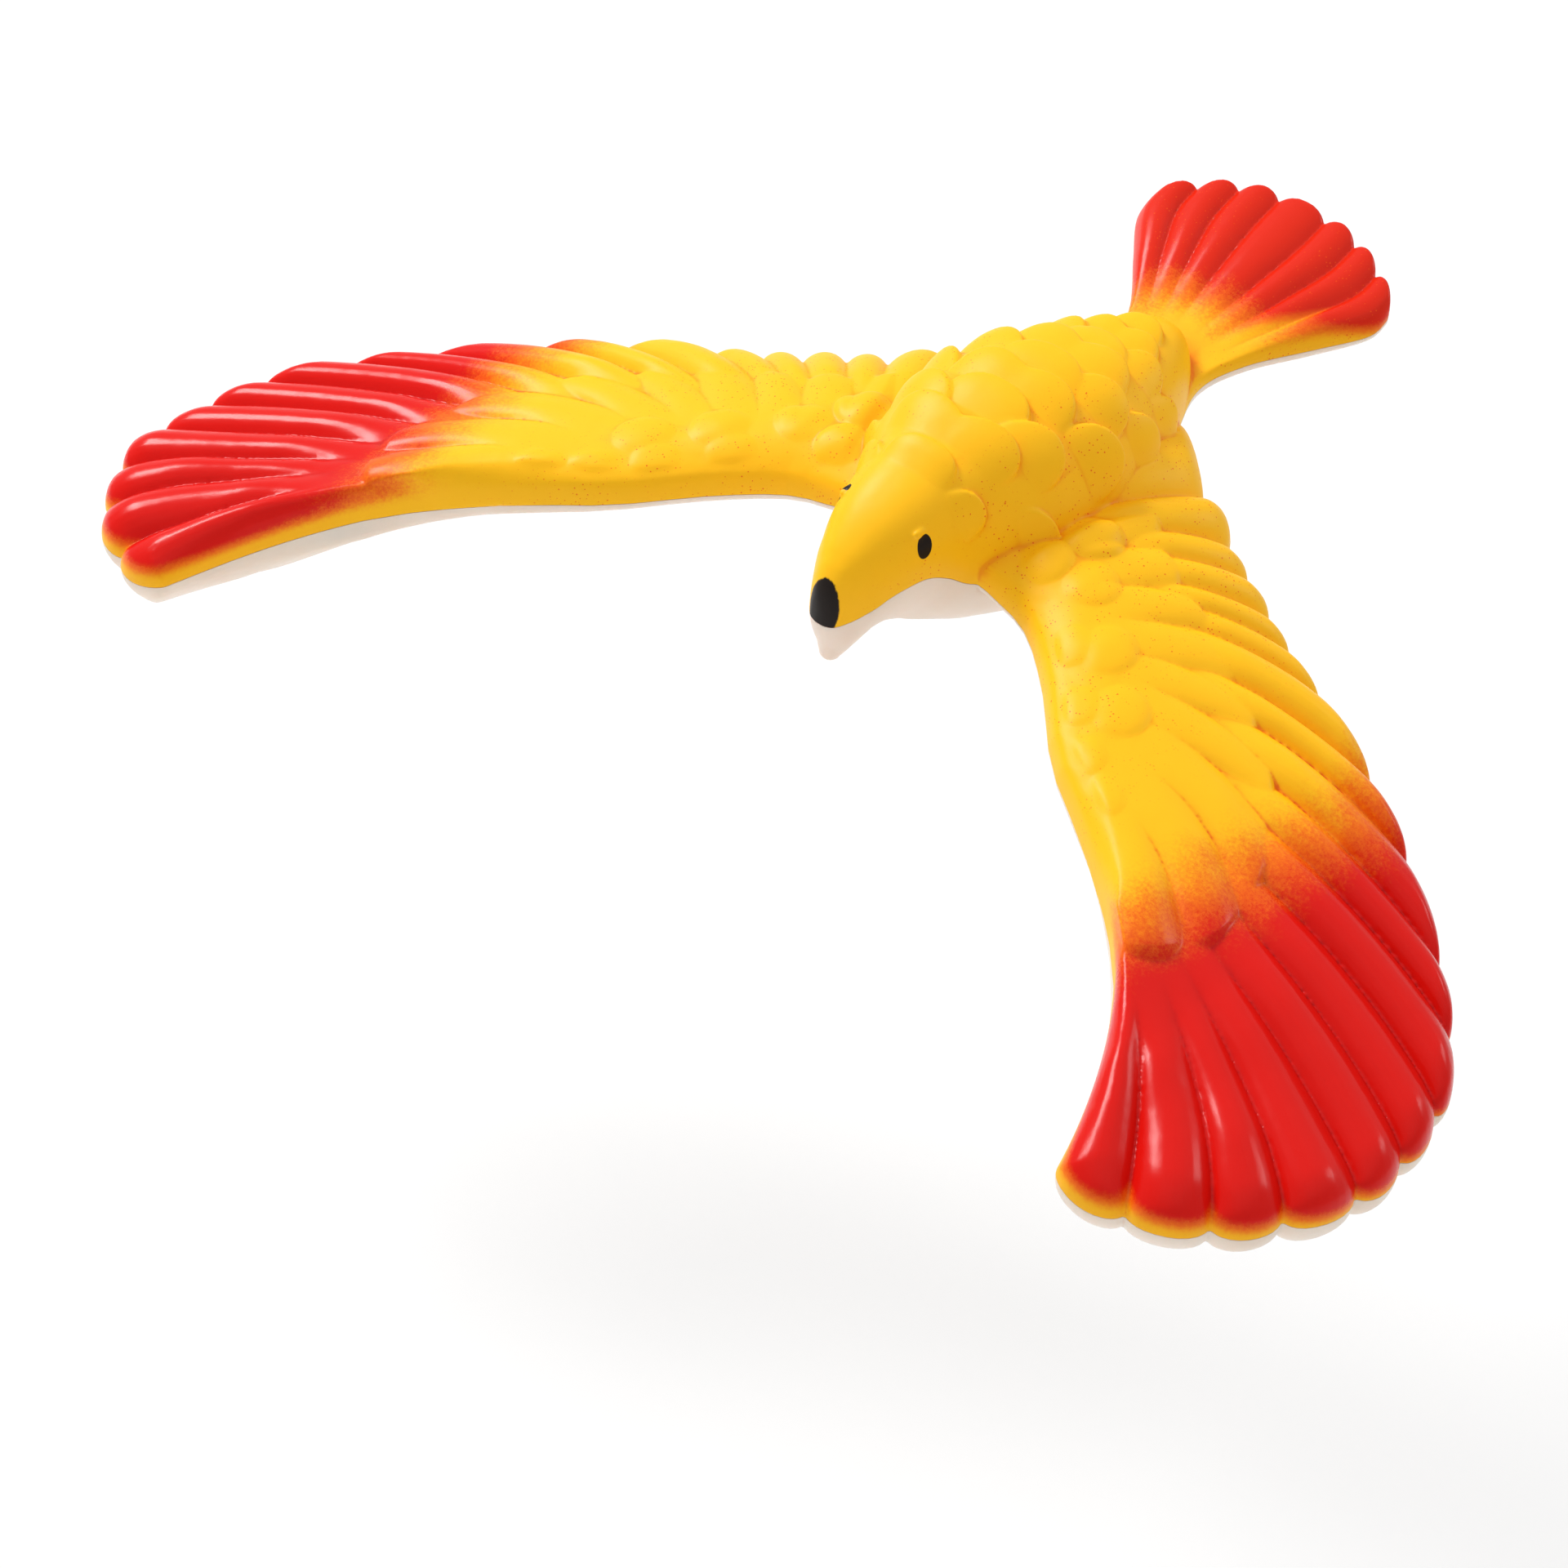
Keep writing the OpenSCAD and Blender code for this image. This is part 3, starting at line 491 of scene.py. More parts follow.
# Brow
# A small raised brow shades the front of each eye. It is a plain oval swelling of the upper shell,
# about a third of it proud of the head.
brow_angle, brow_y, brow_out = math.radians(48.5), 7.3, -0.15
brow_size = (0.5, 1.2, 0.5)
brow_turns, brow_rings = 24, 15


def brow():
    turn = np.linspace(0, 2 * math.pi, brow_turns + 1)[:-1, None]
    up = np.linspace(-math.pi / 2, math.pi / 2, brow_rings)[None]
    centre = body_skin(np.array([brow_angle]), np.array([brow_y]), np.array([brow_out]))[0]
    ball = np.stack([brow_size[0] * np.cos(up) * np.cos(turn), brow_size[1] * np.cos(up) * np.sin(turn),
                     brow_size[2] * np.sin(up) + 0 * turn], -1) + centre
    return ball.reshape(-1, 3), round_faces(brow_turns, brow_rings)


# Moulded form
# All of these run into each other with small soft fillets, as the cutter leaves them in the mould.
# The forms are joined into one skin, which is then parted along the seam.
grain = 0.21
soft_rounds = 4
hollow_grain = 0.45


def object_from(name, skins):
    points, faces, count = [], [], 0
    for p, f in skins:
        points.append(p)
        faces.append(f + count)
        count += len(p)
    mesh = bpy.data.meshes.new(name)
    mesh.from_pydata(np.concatenate(points).tolist(), [], np.concatenate(faces).tolist())
    made = bpy.data.objects.new(name, mesh)
    bpy.context.scene.collection.objects.link(made)
    return made


def joined(made, fineness, rounds):
    """Runs the skins of an object into one skin, then softens it."""
    join = made.modifiers.new("join", "REMESH")
    join.mode = "VOXEL"
    join.voxel_size = fineness
    soften = made.modifiers.new("soften", "SMOOTH")
    soften.factor = 0.5
    soften.iterations = rounds
    return settle(made)


def settle(made):
    """Turns an object's modifiers into its mesh."""
    bpy.context.view_layer.update()
    shaped = made.evaluated_get(bpy.context.evaluated_depsgraph_get())
    mesh = bpy.data.meshes.new_from_object(shaped)
    made.modifiers.clear()
    made.data = mesh
    return made


points, faces = long_feathers()
cover_points, cover_faces = covering_feathers()
wing_skins = [(points, faces), (cover_points, cover_faces)]
wing_tree = BVHTree.FromPolygons(np.concatenate([points, cover_points]).tolist(),
                                 np.concatenate([faces, cover_faces + len(points)]).tolist())
wing_skins += [dome(wing_tree, *shape) for shape in root_feathers]
wing_skins.append(brow())
form = object_from("moulded_form", wing_skins + [mirrored(w) for w in wing_skins]
                   + [body_form(), beak_ball()] + back_feathers() + [tail_form()])
joined(form, grain, soft_rounds)
hollow = object_from("hollow", [wing_hollow(), mirrored(wing_hollow()),
                                body_form(wall_thickness, *hollow_ends)])
joined(hollow, hollow_grain, 1)

# Parting
# The mould parts along the seam, where the two shells are glued rim to rim with a hairline between
# them. In its balance the whole bird then tips nose down about its beak tip.
seam_gap = 0.07
past_rim, knife_columns = 5, 161
knife_rows = [np.linspace(-48, -4, 45), np.linspace(-3, 16, 60)[:-1], np.linspace(16, 93, 60)]
nose_down = math.radians(10)
mm_per_metre = 1000.0


def above_seam(gap):
    """A solid that fills all the space above the seam, raised by a gap."""
    x = np.linspace(-half_span - past_rim, half_span + past_rim, knife_columns)[:, None]
    y = np.concatenate(knife_rows)[None]
    bottom = np.stack([x + 0 * y, y + 0 * x, seam_height(x, y) + gap], -1)
    top = bottom.copy()
    top[..., 2] = high_up
    return object_from("above_seam", [closed_sheet(top, bottom)])


def cut_by(made, tool, operation):
    cut = made.modifiers.new("cut", "BOOLEAN")
    cut.object = tool
    cut.operation = operation
    cut.solver = "MANIFOLD"
    return settle(made)


def without_crumbs(made):
    """Keeps the largest piece of an object, since a cut can leave loose specks."""
    shape = bmesh.new()
    shape.from_mesh(made.data)
    left, largest = set(shape.verts), set()
    while left:
        island = {left.pop()}
        front = list(island)
        while front:
            vertex = front.pop()
            near = {e.other_vert(vertex) for e in vertex.link_edges} & left
            left -= near
            island |= near
            front += near
        largest = max(largest, island, key=len)
    bmesh.ops.delete(shape, geom=[v for v in shape.verts if v not in largest], context="VERTS")
    shape.to_mesh(made.data)
    shape.free()


def tipped():
    """Carries a shape from the level mould, in millimetres, to the balanced bird, in metres."""
    pivot = Matrix.Translation(ball_centre)
    return Matrix.Scale(1 / mm_per_metre, 4) @ pivot @ Matrix.Rotation(nose_down, 4, "X") @ pivot.inverted()


def half_shell(name, gap, operation, faces):
    """One hollow shell, cut from the moulded form and thinned to a number of faces."""
    shell = bpy.data.objects.new(name, form.data.copy())
    bpy.context.scene.collection.objects.link(shell)
    knife = above_seam(gap)
    cut_by(shell, knife, operation)
    cut_by(shell, hollow, "DIFFERENCE")
    bpy.data.objects.remove(knife)
    thin = shell.modifiers.new("thin", "DECIMATE")
    triangles = sum(len(f.vertices) - 2 for f in shell.data.polygons)
    thin.ratio = min(1, faces / triangles)
    settle(shell)
    without_crumbs(shell)
    shell.data.materials.clear()
    return shell


# Guides for the paint
# Each point of a shell carries four measures that its paint follows: the distance in from the
# outline, the height over the seam, the height at which the spray starts and the depth of a crease.
# The depth of a crease also sets the painted shade that darkens the creases.
gun_facing = np.array([0.58, 0.81])
wing_tip_middle = [58, -8]
wing_bare, wing_bare_facing = [2.1, 0], [-0.9, 0.8]
tail_bare, tail_bare_across, tail_bare_ends = [-0.4, 1.9], [-4, 4], (70, 80)
tail_starts = 50
outline_points, tail_side_from, just_inside = 60, 0.3, 0.001
crease_rounds = 16
sharp_edge = math.radians(50)


def spread(mesh, name, values):
    mesh.attributes.new(name, "FLOAT", "POINT").data.foreach_set("value", np.asarray(values, np.float32))


def outline_distance(p):
    """How far in plan each point of a shell lies from the outline of the wings and the tail."""
    s = np.linspace(0, feathers, outline_points * feathers)
    wing = [long_fan.line(s, np.ones((len(s), 1)))[0][:, 0],
            smooth_line(lead_line, np.linspace(0, 1, 400))]
    s = np.linspace(0, tail_feathers, outline_points * tail_feathers)
    tail = [np.stack(tail_points(s, np.ones_like(s)), -1)]
    t = np.linspace(tail_side_from, 1, 100)
    for s in (just_inside, tail_feathers - just_inside):
        tail.append(np.stack(tail_points(0 * t + s, t), -1))
    line = np.concatenate(wing + tail)
    tree = KDTree(len(line))
    for i, (x, y) in enumerate(line):
        tree.insert((abs(x), y, 0), i)
    tree.balance()
    found = [tree.find((abs(x), y, 0)) for x, y in p[:, :2]]
    return np.array([f[2] for f in found])


def bare_rim_height(p):
    """How far above the seam the spray starts: its gun stood behind the bird, over each wing tip."""
    out = np.stack([np.abs(p[:, 0]), p[:, 1]], -1) - wing_tip_middle
    facing = out @ gun_facing / np.linalg.norm(out, axis=1)
    tail = mix(np.interp(p[:, 0], tail_bare_across, tail_bare), 0, ramp(p[:, 1], *tail_bare_ends))
    return np.where(p[:, 1] > tail_starts, tail, np.interp(facing, wing_bare_facing, wing_bare))


def hollows(mesh, p, rounds):
    """How deep each point lies in a crease: its smoothed place is above it along its normal."""
    edges = np.empty(len(mesh.edges) * 2, int)
    mesh.edges.foreach_get("vertices", edges)
    a, b = edges.reshape(-1, 2).T
    count = np.bincount(a, minlength=len(p)) + np.bincount(b, minlength=len(p))
    soft = p
    for _ in range(rounds):
        total = np.stack([np.bincount(a, soft[b, k], len(p)) + np.bincount(b, soft[a, k], len(p))
                          for k in range(3)], -1)
        soft = 0.5 * soft + 0.5 * total / np.maximum(count, 1)[:, None]
    normals = np.empty(len(p) * 3)
    mesh.vertices.foreach_get("normal", normals)
    return ((soft - p) * normals.reshape(-1, 3)).sum(1)


def finish_shell(shell):
    """Gives a shell its guides while it lies level, then tips it into its balance."""
    mesh = shell.data
    p = np.empty(len(mesh.vertices) * 3)
    mesh.vertices.foreach_get("co", p)
    p = p.reshape(-1, 3)
    spread(mesh, "edge_in", outline_distance(p))
    spread(mesh, "bare_rim", bare_rim_height(p))
    spread(mesh, "crease", hollows(mesh, p, crease_rounds))
    spread(mesh, "over_seam", p[:, 2] - seam_height(p[:, 0], p[:, 1]))
    mesh.transform(tipped())
    mesh.polygons.foreach_set("use_smooth", np.ones(len(mesh.polygons), bool))
    mesh.set_sharp_from_angle(angle=sharp_edge)


# Painted upper shell
# The upper shell is moulded in yellow plastic. Red paint is sprayed on the wing tips and the tail,
# and black is dabbed on the beak and the eyes.
yellow = (1.0, 0.52, 0.006, 1)
# A darker yellow, used as painted shade in the creases.
crease_shade_yellow = (0.90, 0.31, 0.001, 1)
orange = (0.88, 0.17, 0.004, 1)
red = (0.69, 0.006, 0.003, 1)
# A darker red for the creases: red paint gathered there, deepened with painted shade.
pooled_and_shaded_red = (0.45, 0.001, 0.003, 1)
black = (0.011, 0.006, 0.004, 1)
dot_red = (0.8, 0.07, 0.001, 1)
upper_faces = 170000


def place(tree, kind, settings=None, feeds=None):
    """Adds a node, sets its properties, then sets or links its inputs."""
    node = tree.nodes.new(kind)
    for name, value in (settings or {}).items():
        setattr(node, name, value)
    for name, value in (feeds or {}).items():
        if isinstance(value, bpy.types.NodeSocket):
            tree.links.new(value, node.inputs[name])
        else:
            node.inputs[name].default_value = value
    return node


def sum_of(tree, operation, *values):
    """The result of one sum, named as the program names it, on numbers or sockets."""
    feeds = {i: v for i, v in enumerate(values)}
    return place(tree, "ShaderNodeMath", {"operation": operation}, feeds).outputs[0]


def faded(tree, value, start, end, low=0.0, high=1.0, kind="SMOOTHSTEP"):
    """Goes from the low to the high figure as a value goes from the start to the end."""
    feeds = {"Value": value, "From Min": start, "From Max": end, "To Min": low, "To Max": high}
    return place(tree, "ShaderNodeMapRange", {"interpolation_type": kind}, feeds).outputs[0]


def noise(tree, where, scale, detail, roughness=0.5):
    feeds = {"Vector": where, "Scale": scale, "Detail": detail, "Roughness": roughness}
    return place(tree, "ShaderNodeTexNoise", None, feeds).outputs[0]


def blended(tree, factor, first, second):
    node = place(tree, "ShaderNodeMix", {"data_type": "RGBA"})
    for socket, value in ((node.inputs[0], factor), (node.inputs[6], first), (node.inputs[7], second)):
        if isinstance(value, bpy.types.NodeSocket):
            tree.links.new(value, socket)
        else:
            socket.default_value = value
    return node.outputs[2]


mould_place = bpy.data.node_groups.new("mould_place", "ShaderNodeTree")
mould_place.interface.new_socket("Place", in_out="OUTPUT", socket_type="NodeSocketVector")
for measure in ("Across", "Side", "Along", "Height"):
    mould_place.interface.new_socket(measure, in_out="OUTPUT", socket_type="NodeSocketFloat")
here = place(mould_place, "ShaderNodeTexCoord")
level = place(mould_place, "ShaderNodeVectorRotate", {"rotation_type": "X_AXIS"},
              {"Vector": here.outputs["Object"], "Center": ball_centre / mm_per_metre,
               "Angle": -nose_down})
scaled = place(mould_place, "ShaderNodeVectorMath", {"operation": "SCALE"},
               {0: level.outputs[0], "Scale": mm_per_metre})
parts = place(mould_place, "ShaderNodeSeparateXYZ", None, {0: scaled.outputs[0]})
place(mould_place, "NodeGroupOutput", None,
      {"Place": scaled.outputs[0], "Across": parts.outputs[0],
       "Side": sum_of(mould_place, "ABSOLUTE", parts.outputs[0]),
       "Along": parts.outputs[1], "Height": parts.outputs[2]})

moulded_skin = bpy.data.node_groups.new("moulded_skin", "ShaderNodeTree")
moulded_skin.interface.new_socket("Grain", in_out="INPUT", socket_type="NodeSocketFloat")
moulded_skin.interface.new_socket("Waviness", in_out="INPUT", socket_type="NodeSocketFloat")
moulded_skin.interface.new_socket("Height", in_out="OUTPUT", socket_type="NodeSocketFloat")
given = place(moulded_skin, "NodeGroupInput")
spot = place(moulded_skin, "ShaderNodeGroup", {"node_tree": mould_place}).outputs["Place"]
fine = noise(moulded_skin, spot, scale=5.0, detail=3.0)
wavy = noise(moulded_skin, spot, scale=0.35, detail=1.0)
fine = sum_of(moulded_skin, "MULTIPLY", fine, given.outputs["Grain"])
wavy = sum_of(moulded_skin, "MULTIPLY", wavy, given.outputs["Waviness"])
place(moulded_skin, "NodeGroupOutput", None, {"Height": sum_of(moulded_skin, "ADD", fine, wavy)})


def new_finish(name):
    finish = bpy.data.materials.new(name)
    finish.use_nodes = True
    tree = finish.node_tree
    return finish, tree, tree.nodes["Principled BSDF"]


def read(tree, name):
    return place(tree, "ShaderNodeAttribute", {"attribute_name": name}).outputs["Fac"]


def skinned(tree, shader, fine, wavy, strength, film=None):
    """Gives a material the faint unevenness of its mould, and the step of a film of paint."""
    feeds = {"Grain": fine, "Waviness": wavy}
    height = place(tree, "ShaderNodeGroup", {"node_tree": moulded_skin}, feeds).outputs[0]
    if film is not None:
        height = sum_of(tree, "ADD", height, film)
    feeds = {"Strength": strength, "Distance": 1 / mm_per_metre, "Height": height}
    bump = place(tree, "ShaderNodeBump", None, feeds)
    tree.links.new(bump.outputs[0], shader.inputs["Normal"])


painted, tree, shader = new_finish("sprayed_yellow_plastic")
spot = place(tree, "ShaderNodeGroup", {"node_tree": mould_place})
across, side, along, height = (spot.outputs[n] for n in ("Across", "Side", "Along", "Height"))
edge_in, crease = read(tree, "edge_in"), read(tree, "crease")
over_seam, bare_rim = read(tree, "over_seam"), read(tree, "bare_rim")
mist = noise(tree, spot.outputs["Place"], scale=2.4, detail=6.0, roughness=0.8)
cloud = noise(tree, spot.outputs["Place"], scale=0.16, detail=2.0)
uneven_mist = sum_of(tree, "SUBTRACT", mist, 0.5)
uneven_cloud = sum_of(tree, "SUBTRACT", cloud, 0.5)

# The edge of the spray runs in a bow across each wing: how far out it lies for a place along.
spray_edge = [(-45, 52), (-20, 58), (-14, 60), (-5, 62), (5, 64), (12, 66), (18, 65.5), (24, 64), (50, 64)]
spray_front, spray_back, spray_scale = spray_edge[0][0], spray_edge[-1][0], 100.0
place_on_bow = faded(tree, along, spray_front, spray_back, kind="LINEAR")
bow = place(tree, "ShaderNodeFloatCurve", None, {"Value": place_on_bow})
line = bow.mapping.curves[0]
for i, (a, out) in enumerate(spray_edge):
    at = ((a - spray_front) / (spray_back - spray_front), out / spray_scale)
    if i < len(line.points):
        line.points[i].location = at
    else:
        line.points.new(*at)
bow.mapping.update()
wing_reach = sum_of(tree, "SUBTRACT", side, sum_of(tree, "MULTIPLY", bow.outputs[0], spray_scale))

# On the tail the edge is a round about the rump, and nothing ahead of it or beside it is red.
tail_middle, tail_behind, tail_edge, out_of_reach = 58.0, 61.0, 18.0, 120.0
tail_sides, beside_tail = (20.0, 24.0), 60.0
behind = sum_of(tree, "POWER", sum_of(tree, "SUBTRACT", along, tail_middle), 2.0)
tail_radius = sum_of(tree, "SQRT", sum_of(tree, "ADD", sum_of(tree, "MULTIPLY", side, side), behind))
tail_ring = faded(tree, along, tail_middle, tail_behind, out_of_reach, tail_edge)
tail_reach = sum_of(tree, "SUBTRACT", tail_radius, tail_ring)
tail_reach = sum_of(tree, "SUBTRACT", tail_reach, faded(tree, side, *tail_sides, 0.0, beside_tail))

# The mist thins out over a width and drifts a little. It leaves the rim bare on the side away from
# the spray gun, and gathers in the creases.
wing_width, tail_width = (-57.0, 24.0, -2.0, 2.0), (-45.0, 15.0, -2.0, 2.0)
mist_drift, cloud_drift, mist_climb = 0.6, 0.35, 1.0
climb_band, inner_band = (-1.1, 1.6, 0.12, 1.0), (2.2, 5.0)
groove_band, groove_red = (0.04, 0.2), (-0.7, 0.2, 0.0, 0.45)
rump_groove_band, rump_red = (-0.05, 0.15), (42.0, 54.0, 0.0, 0.3)
thinner_tail = (50.0, 62.0, 1.0, 0.81)
reach = sum_of(tree, "MAXIMUM", faded(tree, wing_reach, *wing_width, kind="LINEAR"),
               faded(tree, tail_reach, *tail_width, kind="LINEAR"))
drift = sum_of(tree, "MULTIPLY", uneven_mist, mist_drift)
drift = sum_of(tree, "ADD", drift, sum_of(tree, "MULTIPLY", uneven_cloud, cloud_drift))
reach = sum_of(tree, "ADD", reach, drift)
on_top = sum_of(tree, "SUBTRACT", over_seam, bare_rim)
on_top = sum_of(tree, "ADD", on_top, sum_of(tree, "MULTIPLY", uneven_mist, mist_climb))
well_in = faded(tree, edge_in, *inner_band)
on_top = sum_of(tree, "MAXIMUM", faded(tree, on_top, *climb_band), well_in)
near_spray = faded(tree, reach, *groove_red)
caught = sum_of(tree, "MULTIPLY", faded(tree, crease, *groove_band), near_spray)
near_tail = faded(tree, along, *rump_red)
settled = sum_of(tree, "MULTIPLY", faded(tree, crease, *rump_groove_band), near_tail)
sprayed = sum_of(tree, "MAXIMUM", sum_of(tree, "MULTIPLY", faded(tree, reach, 0.0, 1.0), on_top),
                 sum_of(tree, "MAXIMUM", caught, settled))
sprayed = sum_of(tree, "MINIMUM", sprayed, faded(tree, along, *thinner_tail))

# Thin mist over yellow looks orange and thick mist red. In the creases the yellow is darkened as
# painted shade, and the red is deeper both where its paint gathers and as painted shade.
yellow_crease_shade, red_crease_pool_and_shade = (0.02, 0.2, 0.0, 0.9), (0.0, 0.3)
orange_band, red_band = (0.0, 0.5), (0.35, 0.9)
base = blended(tree, faded(tree, crease, *yellow_crease_shade), yellow, crease_shade_yellow)
base = blended(tree, faded(tree, sprayed, *orange_band), base, orange)
full_red_with_crease_shade = blended(tree, faded(tree, crease, *red_crease_pool_and_shade), red, pooled_and_shaded_red)
base = blended(tree, faded(tree, sprayed, *red_band), base, full_red_with_crease_shade)

# Stray dots of red paint lie on the sides of the neck and the back, and on the wing roots.
dots_per_mm, dot_sizes, dot_cover = 2.8, (0.4, 1.0, 0.0, 0.3), 0.85
dots_from, dots_to, dot_patches = (2.0, 8.0), (30.0, 50.0, 1.0, 0.0), (0.35, 0.55)
dots = place(tree, "ShaderNodeTexVoronoi", None,
             {"Vector": spot.outputs["Place"], "Scale": dots_per_mm, "Randomness": 1.0})
chance = place(tree, "ShaderNodeSeparateColor", None, {0: dots.outputs["Color"]})
dot_size = faded(tree, chance.outputs[0], *dot_sizes, kind="LINEAR")
dot = sum_of(tree, "LESS_THAN", dots.outputs["Distance"], dot_size)
dotted = sum_of(tree, "MULTIPLY", faded(tree, side, *dots_from), faded(tree, side, *dots_to))
dotted = sum_of(tree, "MULTIPLY", dotted, faded(tree, cloud, *dot_patches))
dot = sum_of(tree, "MULTIPLY", dot, dotted)
base = blended(tree, sum_of(tree, "MULTIPLY", dot, dot_cover), base, dot_red)


def oval(across, up, middle, size):
    """Grows outward from the middle of an oval and passes 1 at its edge."""
    a = sum_of(tree, "DIVIDE", sum_of(tree, "SUBTRACT", across, middle[0]), size[0])
    b = sum_of(tree, "DIVIDE", sum_of(tree, "SUBTRACT", up, middle[1]), size[1])
    return sum_of(tree, "ADD", sum_of(tree, "MULTIPLY", a, a), sum_of(tree, "MULTIPLY", b, b))


# Black dabs: an oval eye on each cheek, the right one dabbed higher, and the tip of the upper beak.
eye_centre, eye_size, eye_lean, right_eye_rise = (7.2, 14.8), (0.82, 1.35), 0.2, 0.9
beak_centre, beak_size, beak_back, beak_ragged = (0.0, 8.2), (2.0, 3.6), 1.6, 0.35
dab_edge = (0.93, 1.07, 1.0, 0.0)
raised = sum_of(tree, "MULTIPLY", sum_of(tree, "LESS_THAN", across, 0.0), right_eye_rise)
height = sum_of(tree, "SUBTRACT", height, raised)
leaning = sum_of(tree, "MULTIPLY", sum_of(tree, "SUBTRACT", height, eye_centre[1]), eye_lean)
upright = sum_of(tree, "SUBTRACT", along, leaning)
eye = faded(tree, oval(upright, height, eye_centre, eye_size), *dab_edge)
ragged = sum_of(tree, "MULTIPLY", uneven_mist, beak_ragged)
beak = sum_of(tree, "ADD", oval(side, spot.outputs["Height"], beak_centre, beak_size), ragged)
beak = sum_of(tree, "MULTIPLY", faded(tree, beak, *dab_edge), sum_of(tree, "LESS_THAN", along, beak_back))
dabbed = sum_of(tree, "MAXIMUM", eye, beak)
base = blended(tree, dabbed, base, black)
tree.links.new(base, shader.inputs["Base Color"])

# The yellow plastic is dull, the red spray glossier, and the black dabs stand up as a thin film.
plastic_dull, spray_dull, dab_gloss, dab_film = 0.42, 0.23, -0.1, 0.06
gloss_band = (0.2, 0.9)
dull = faded(tree, sprayed, *gloss_band, plastic_dull, spray_dull)
dull = sum_of(tree, "ADD", dull, faded(tree, dabbed, 0.0, 1.0, 0.0, dab_gloss))
tree.links.new(dull, shader.inputs["Roughness"])
film = sum_of(tree, "MULTIPLY", faded(tree, dabbed, 0.0, 1.0), dab_film)
skinned(tree, shader, fine=0.02, wavy=0.25, strength=0.25, film=film)
shader.inputs["Specular IOR Level"].default_value = 0.16
shader.inputs["Subsurface Weight"].default_value = 0.08
shader.inputs["Subsurface Radius"].default_value = (1.0, 0.5, 0.1)
shader.inputs["Subsurface Scale"].default_value = 0.001

upper_shell = half_shell("painted_upper_shell", gap=0, operation="INTERSECT", faces=upper_faces)
finish_shell(upper_shell)
upper_shell.data.materials.append(painted)
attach(upper_shell, "root")
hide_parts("upper_shell")

# White lower shell
# The lower shell is left bare, just as it leaves the mould: cream white, faintly translucent plastic
# with a soft shine, warmer in random patches, and darker and warmer in its creases as painted shade.
# It is glued to the upper shell along the rim.
cream, warm_and_shaded_cream = (0.87, 0.73, 0.62, 1), (0.78, 0.58, 0.43, 1)
warm_patches, crease_shade_warmth, shine = (0.35, 0.75, 0.0, 0.3), (0.02, 0.2, 0.0, 0.7), (0.3, 0.7, 0.36, 0.44)
lower_faces = 90000
lower_shell = half_shell("white_lower_shell", gap=-seam_gap, operation="DIFFERENCE", faces=lower_faces)
finish_shell(lower_shell)
bare, tree, shader = new_finish("bare_white_plastic")
spot = place(tree, "ShaderNodeGroup", {"node_tree": mould_place})
cloud = noise(tree, spot.outputs["Place"], scale=0.12, detail=3.0)
# Warm patches at random, plus painted shade that darkens and warms the creases.
warmth_and_crease_shade = sum_of(tree, "ADD", faded(tree, cloud, *warm_patches),
                faded(tree, read(tree, "crease"), *crease_shade_warmth))
tree.links.new(blended(tree, warmth_and_crease_shade, cream, warm_and_shaded_cream), shader.inputs["Base Color"])
tree.links.new(faded(tree, cloud, *shine), shader.inputs["Roughness"])
skinned(tree, shader, fine=0.03, wavy=0.3, strength=0.25)
shader.inputs["Subsurface Weight"].default_value = 0.3
shader.inputs["Subsurface Radius"].default_value = (1.0, 0.6, 0.45)
shader.inputs["Subsurface Scale"].default_value = 0.002
lower_shell.data.materials.append(bare)
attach(lower_shell, "root")
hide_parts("lower_shell")
bpy.data.objects.remove(form)
bpy.data.objects.remove(hollow)

# Weights
# A plain steel slug lies in each wing tip and brings the balance point under the beak. The slugs
# are blanked from bar and left bare, with a dull face and a few dark stains.
steel, dark_steel = (0.42, 0.41, 0.40, 1), (0.16, 0.14, 0.12, 1)
stain_band, stain_dull = (0.5, 0.75, 0.0, 0.8), (0.4, 0.7, 0.3, 0.6)
slug_steel, tree, shader = new_finish("bare_steel")
spot = place(tree, "ShaderNodeGroup", {"node_tree": mould_place})
stain = noise(tree, spot.outputs["Place"], scale=0.35, detail=5.0)
base = blended(tree, faded(tree, stain, *stain_band), steel, dark_steel)
tree.links.new(base, shader.inputs["Base Color"])
tree.links.new(faded(tree, stain, *stain_dull), shader.inputs["Roughness"])
skinned(tree, shader, fine=0.05, wavy=0.1, strength=0.3)
shader.inputs["Metallic"].default_value = 1.0
for slug in ("left_weight", "right_weight"):
    slug_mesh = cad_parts[slug].data
    slug_mesh.materials.clear()
    slug_mesh.materials.append(slug_steel)

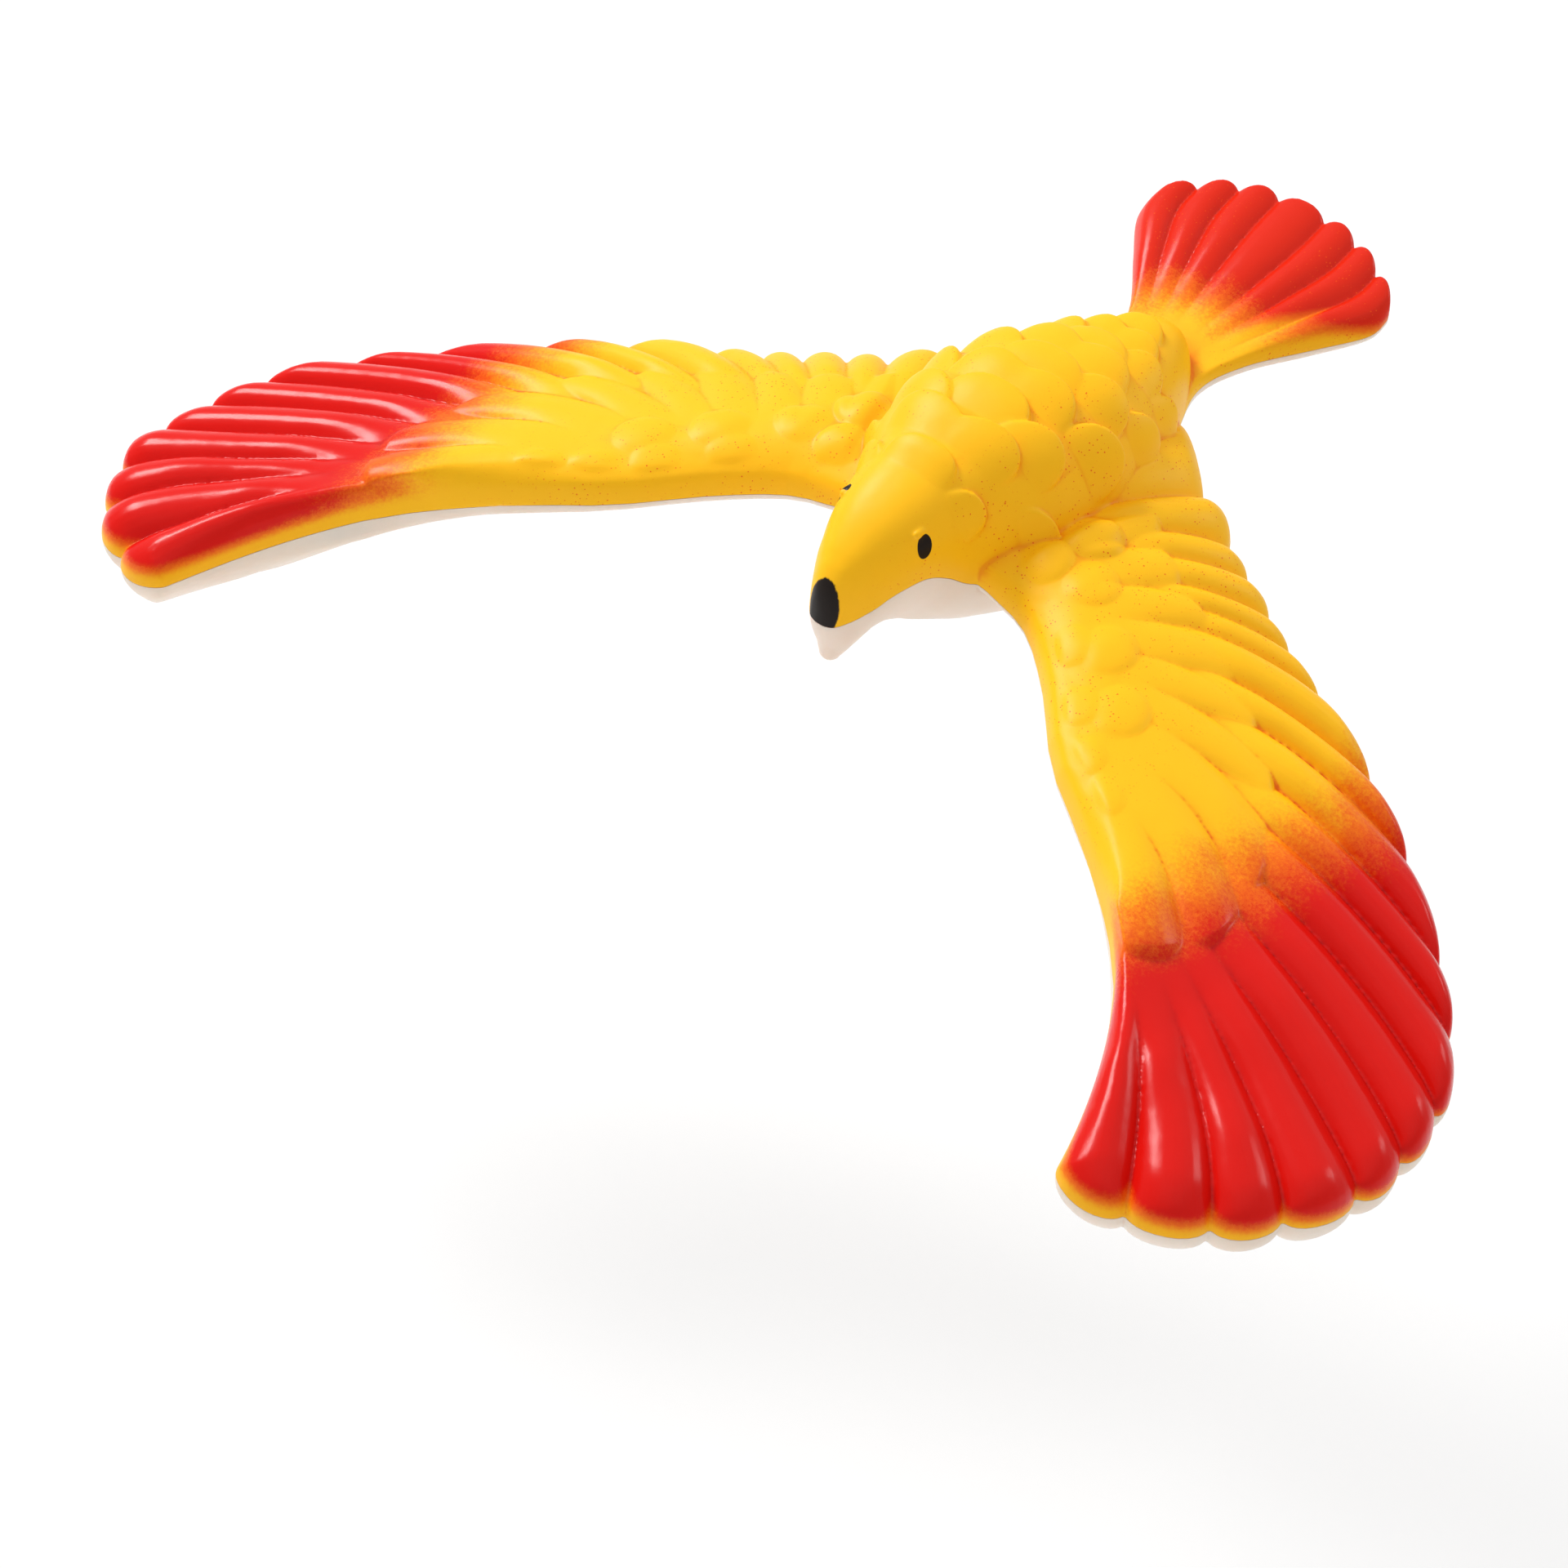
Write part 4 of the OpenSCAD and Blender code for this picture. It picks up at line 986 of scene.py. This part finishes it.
# Floor and light
# A wide pale floor lies under the bird, with one soft light at its upper left, a weaker one behind
# it, and a white room all round that fills the shadows.
floor_z, floor_half = -0.08, 3
floor_white, floor_glow = (0.93, 0.925, 0.92, 1), 0.7
room_white, room_band = 0.9, (0.55, 0.9, 0.6, 1.0)
bird_middle = Vector((0, 0.02, 0.01))
floor_corners = [(x * floor_half, y * floor_half, floor_z) for x, y in ((-1, -1), (1, -1), (1, 1), (-1, 1))]
floor_mesh = bpy.data.meshes.new("floor")
floor_mesh.from_pydata(floor_corners, [], [(0, 1, 2, 3)])
floor = bpy.data.objects.new("floor", floor_mesh)
bpy.context.scene.collection.objects.link(floor)
floor_paint, tree, shader = new_finish("pale_floor")
shader.inputs["Base Color"].default_value = floor_white
shader.inputs["Roughness"].default_value = 0.9
seen = place(tree, "ShaderNodeLightPath")
straight = sum_of(tree, "MAXIMUM", seen.outputs["Is Camera Ray"],
                  sum_of(tree, "MAXIMUM", seen.outputs["Is Glossy Ray"],
                         seen.outputs["Is Transmission Ray"]))
glow = place(tree, "ShaderNodeEmission", None, {"Color": (1, 1, 1, 1), "Strength": 1.0})
mixed = place(tree, "ShaderNodeMixShader", None,
              {0: sum_of(tree, "MULTIPLY", straight, floor_glow), 1: shader.outputs[0], 2: glow.outputs[0]})
tree.links.new(mixed.outputs[0], tree.nodes["Material Output"].inputs["Surface"])
floor_mesh.materials.append(floor_paint)


def softbox(name, location, size, power):
    data = bpy.data.lights.new(name, "AREA")
    data.energy = power
    data.shape = "RECTANGLE"
    data.size, data.size_y = size
    lamp = bpy.data.objects.new(name, data)
    lamp.location = location
    lamp.rotation_euler = (bird_middle - lamp.location).to_track_quat("-Z", "Y").to_euler()
    bpy.context.scene.collection.objects.link(lamp)


softbox("main_light", location=(-0.85, -0.05, 0.78), size=(0.35, 0.35), power=10)
softbox("back_light", location=(0.5, 0.85, 0.65), size=(0.3, 0.3), power=1.5)
room = bpy.data.worlds.new("room")
bpy.context.scene.world = room
room.use_nodes = True
tree = room.node_tree
sky = place(tree, "ShaderNodeTexCoord").outputs["Generated"]
upward = place(tree, "ShaderNodeSeparateXYZ", None, {0: sky})
ceiling = faded(tree, upward.outputs[2], *room_band)
tree.links.new(ceiling, tree.nodes["Background"].inputs["Color"])
tree.nodes["Background"].inputs["Strength"].default_value = room_white
bpy.context.scene.view_settings.view_transform = "Standard"
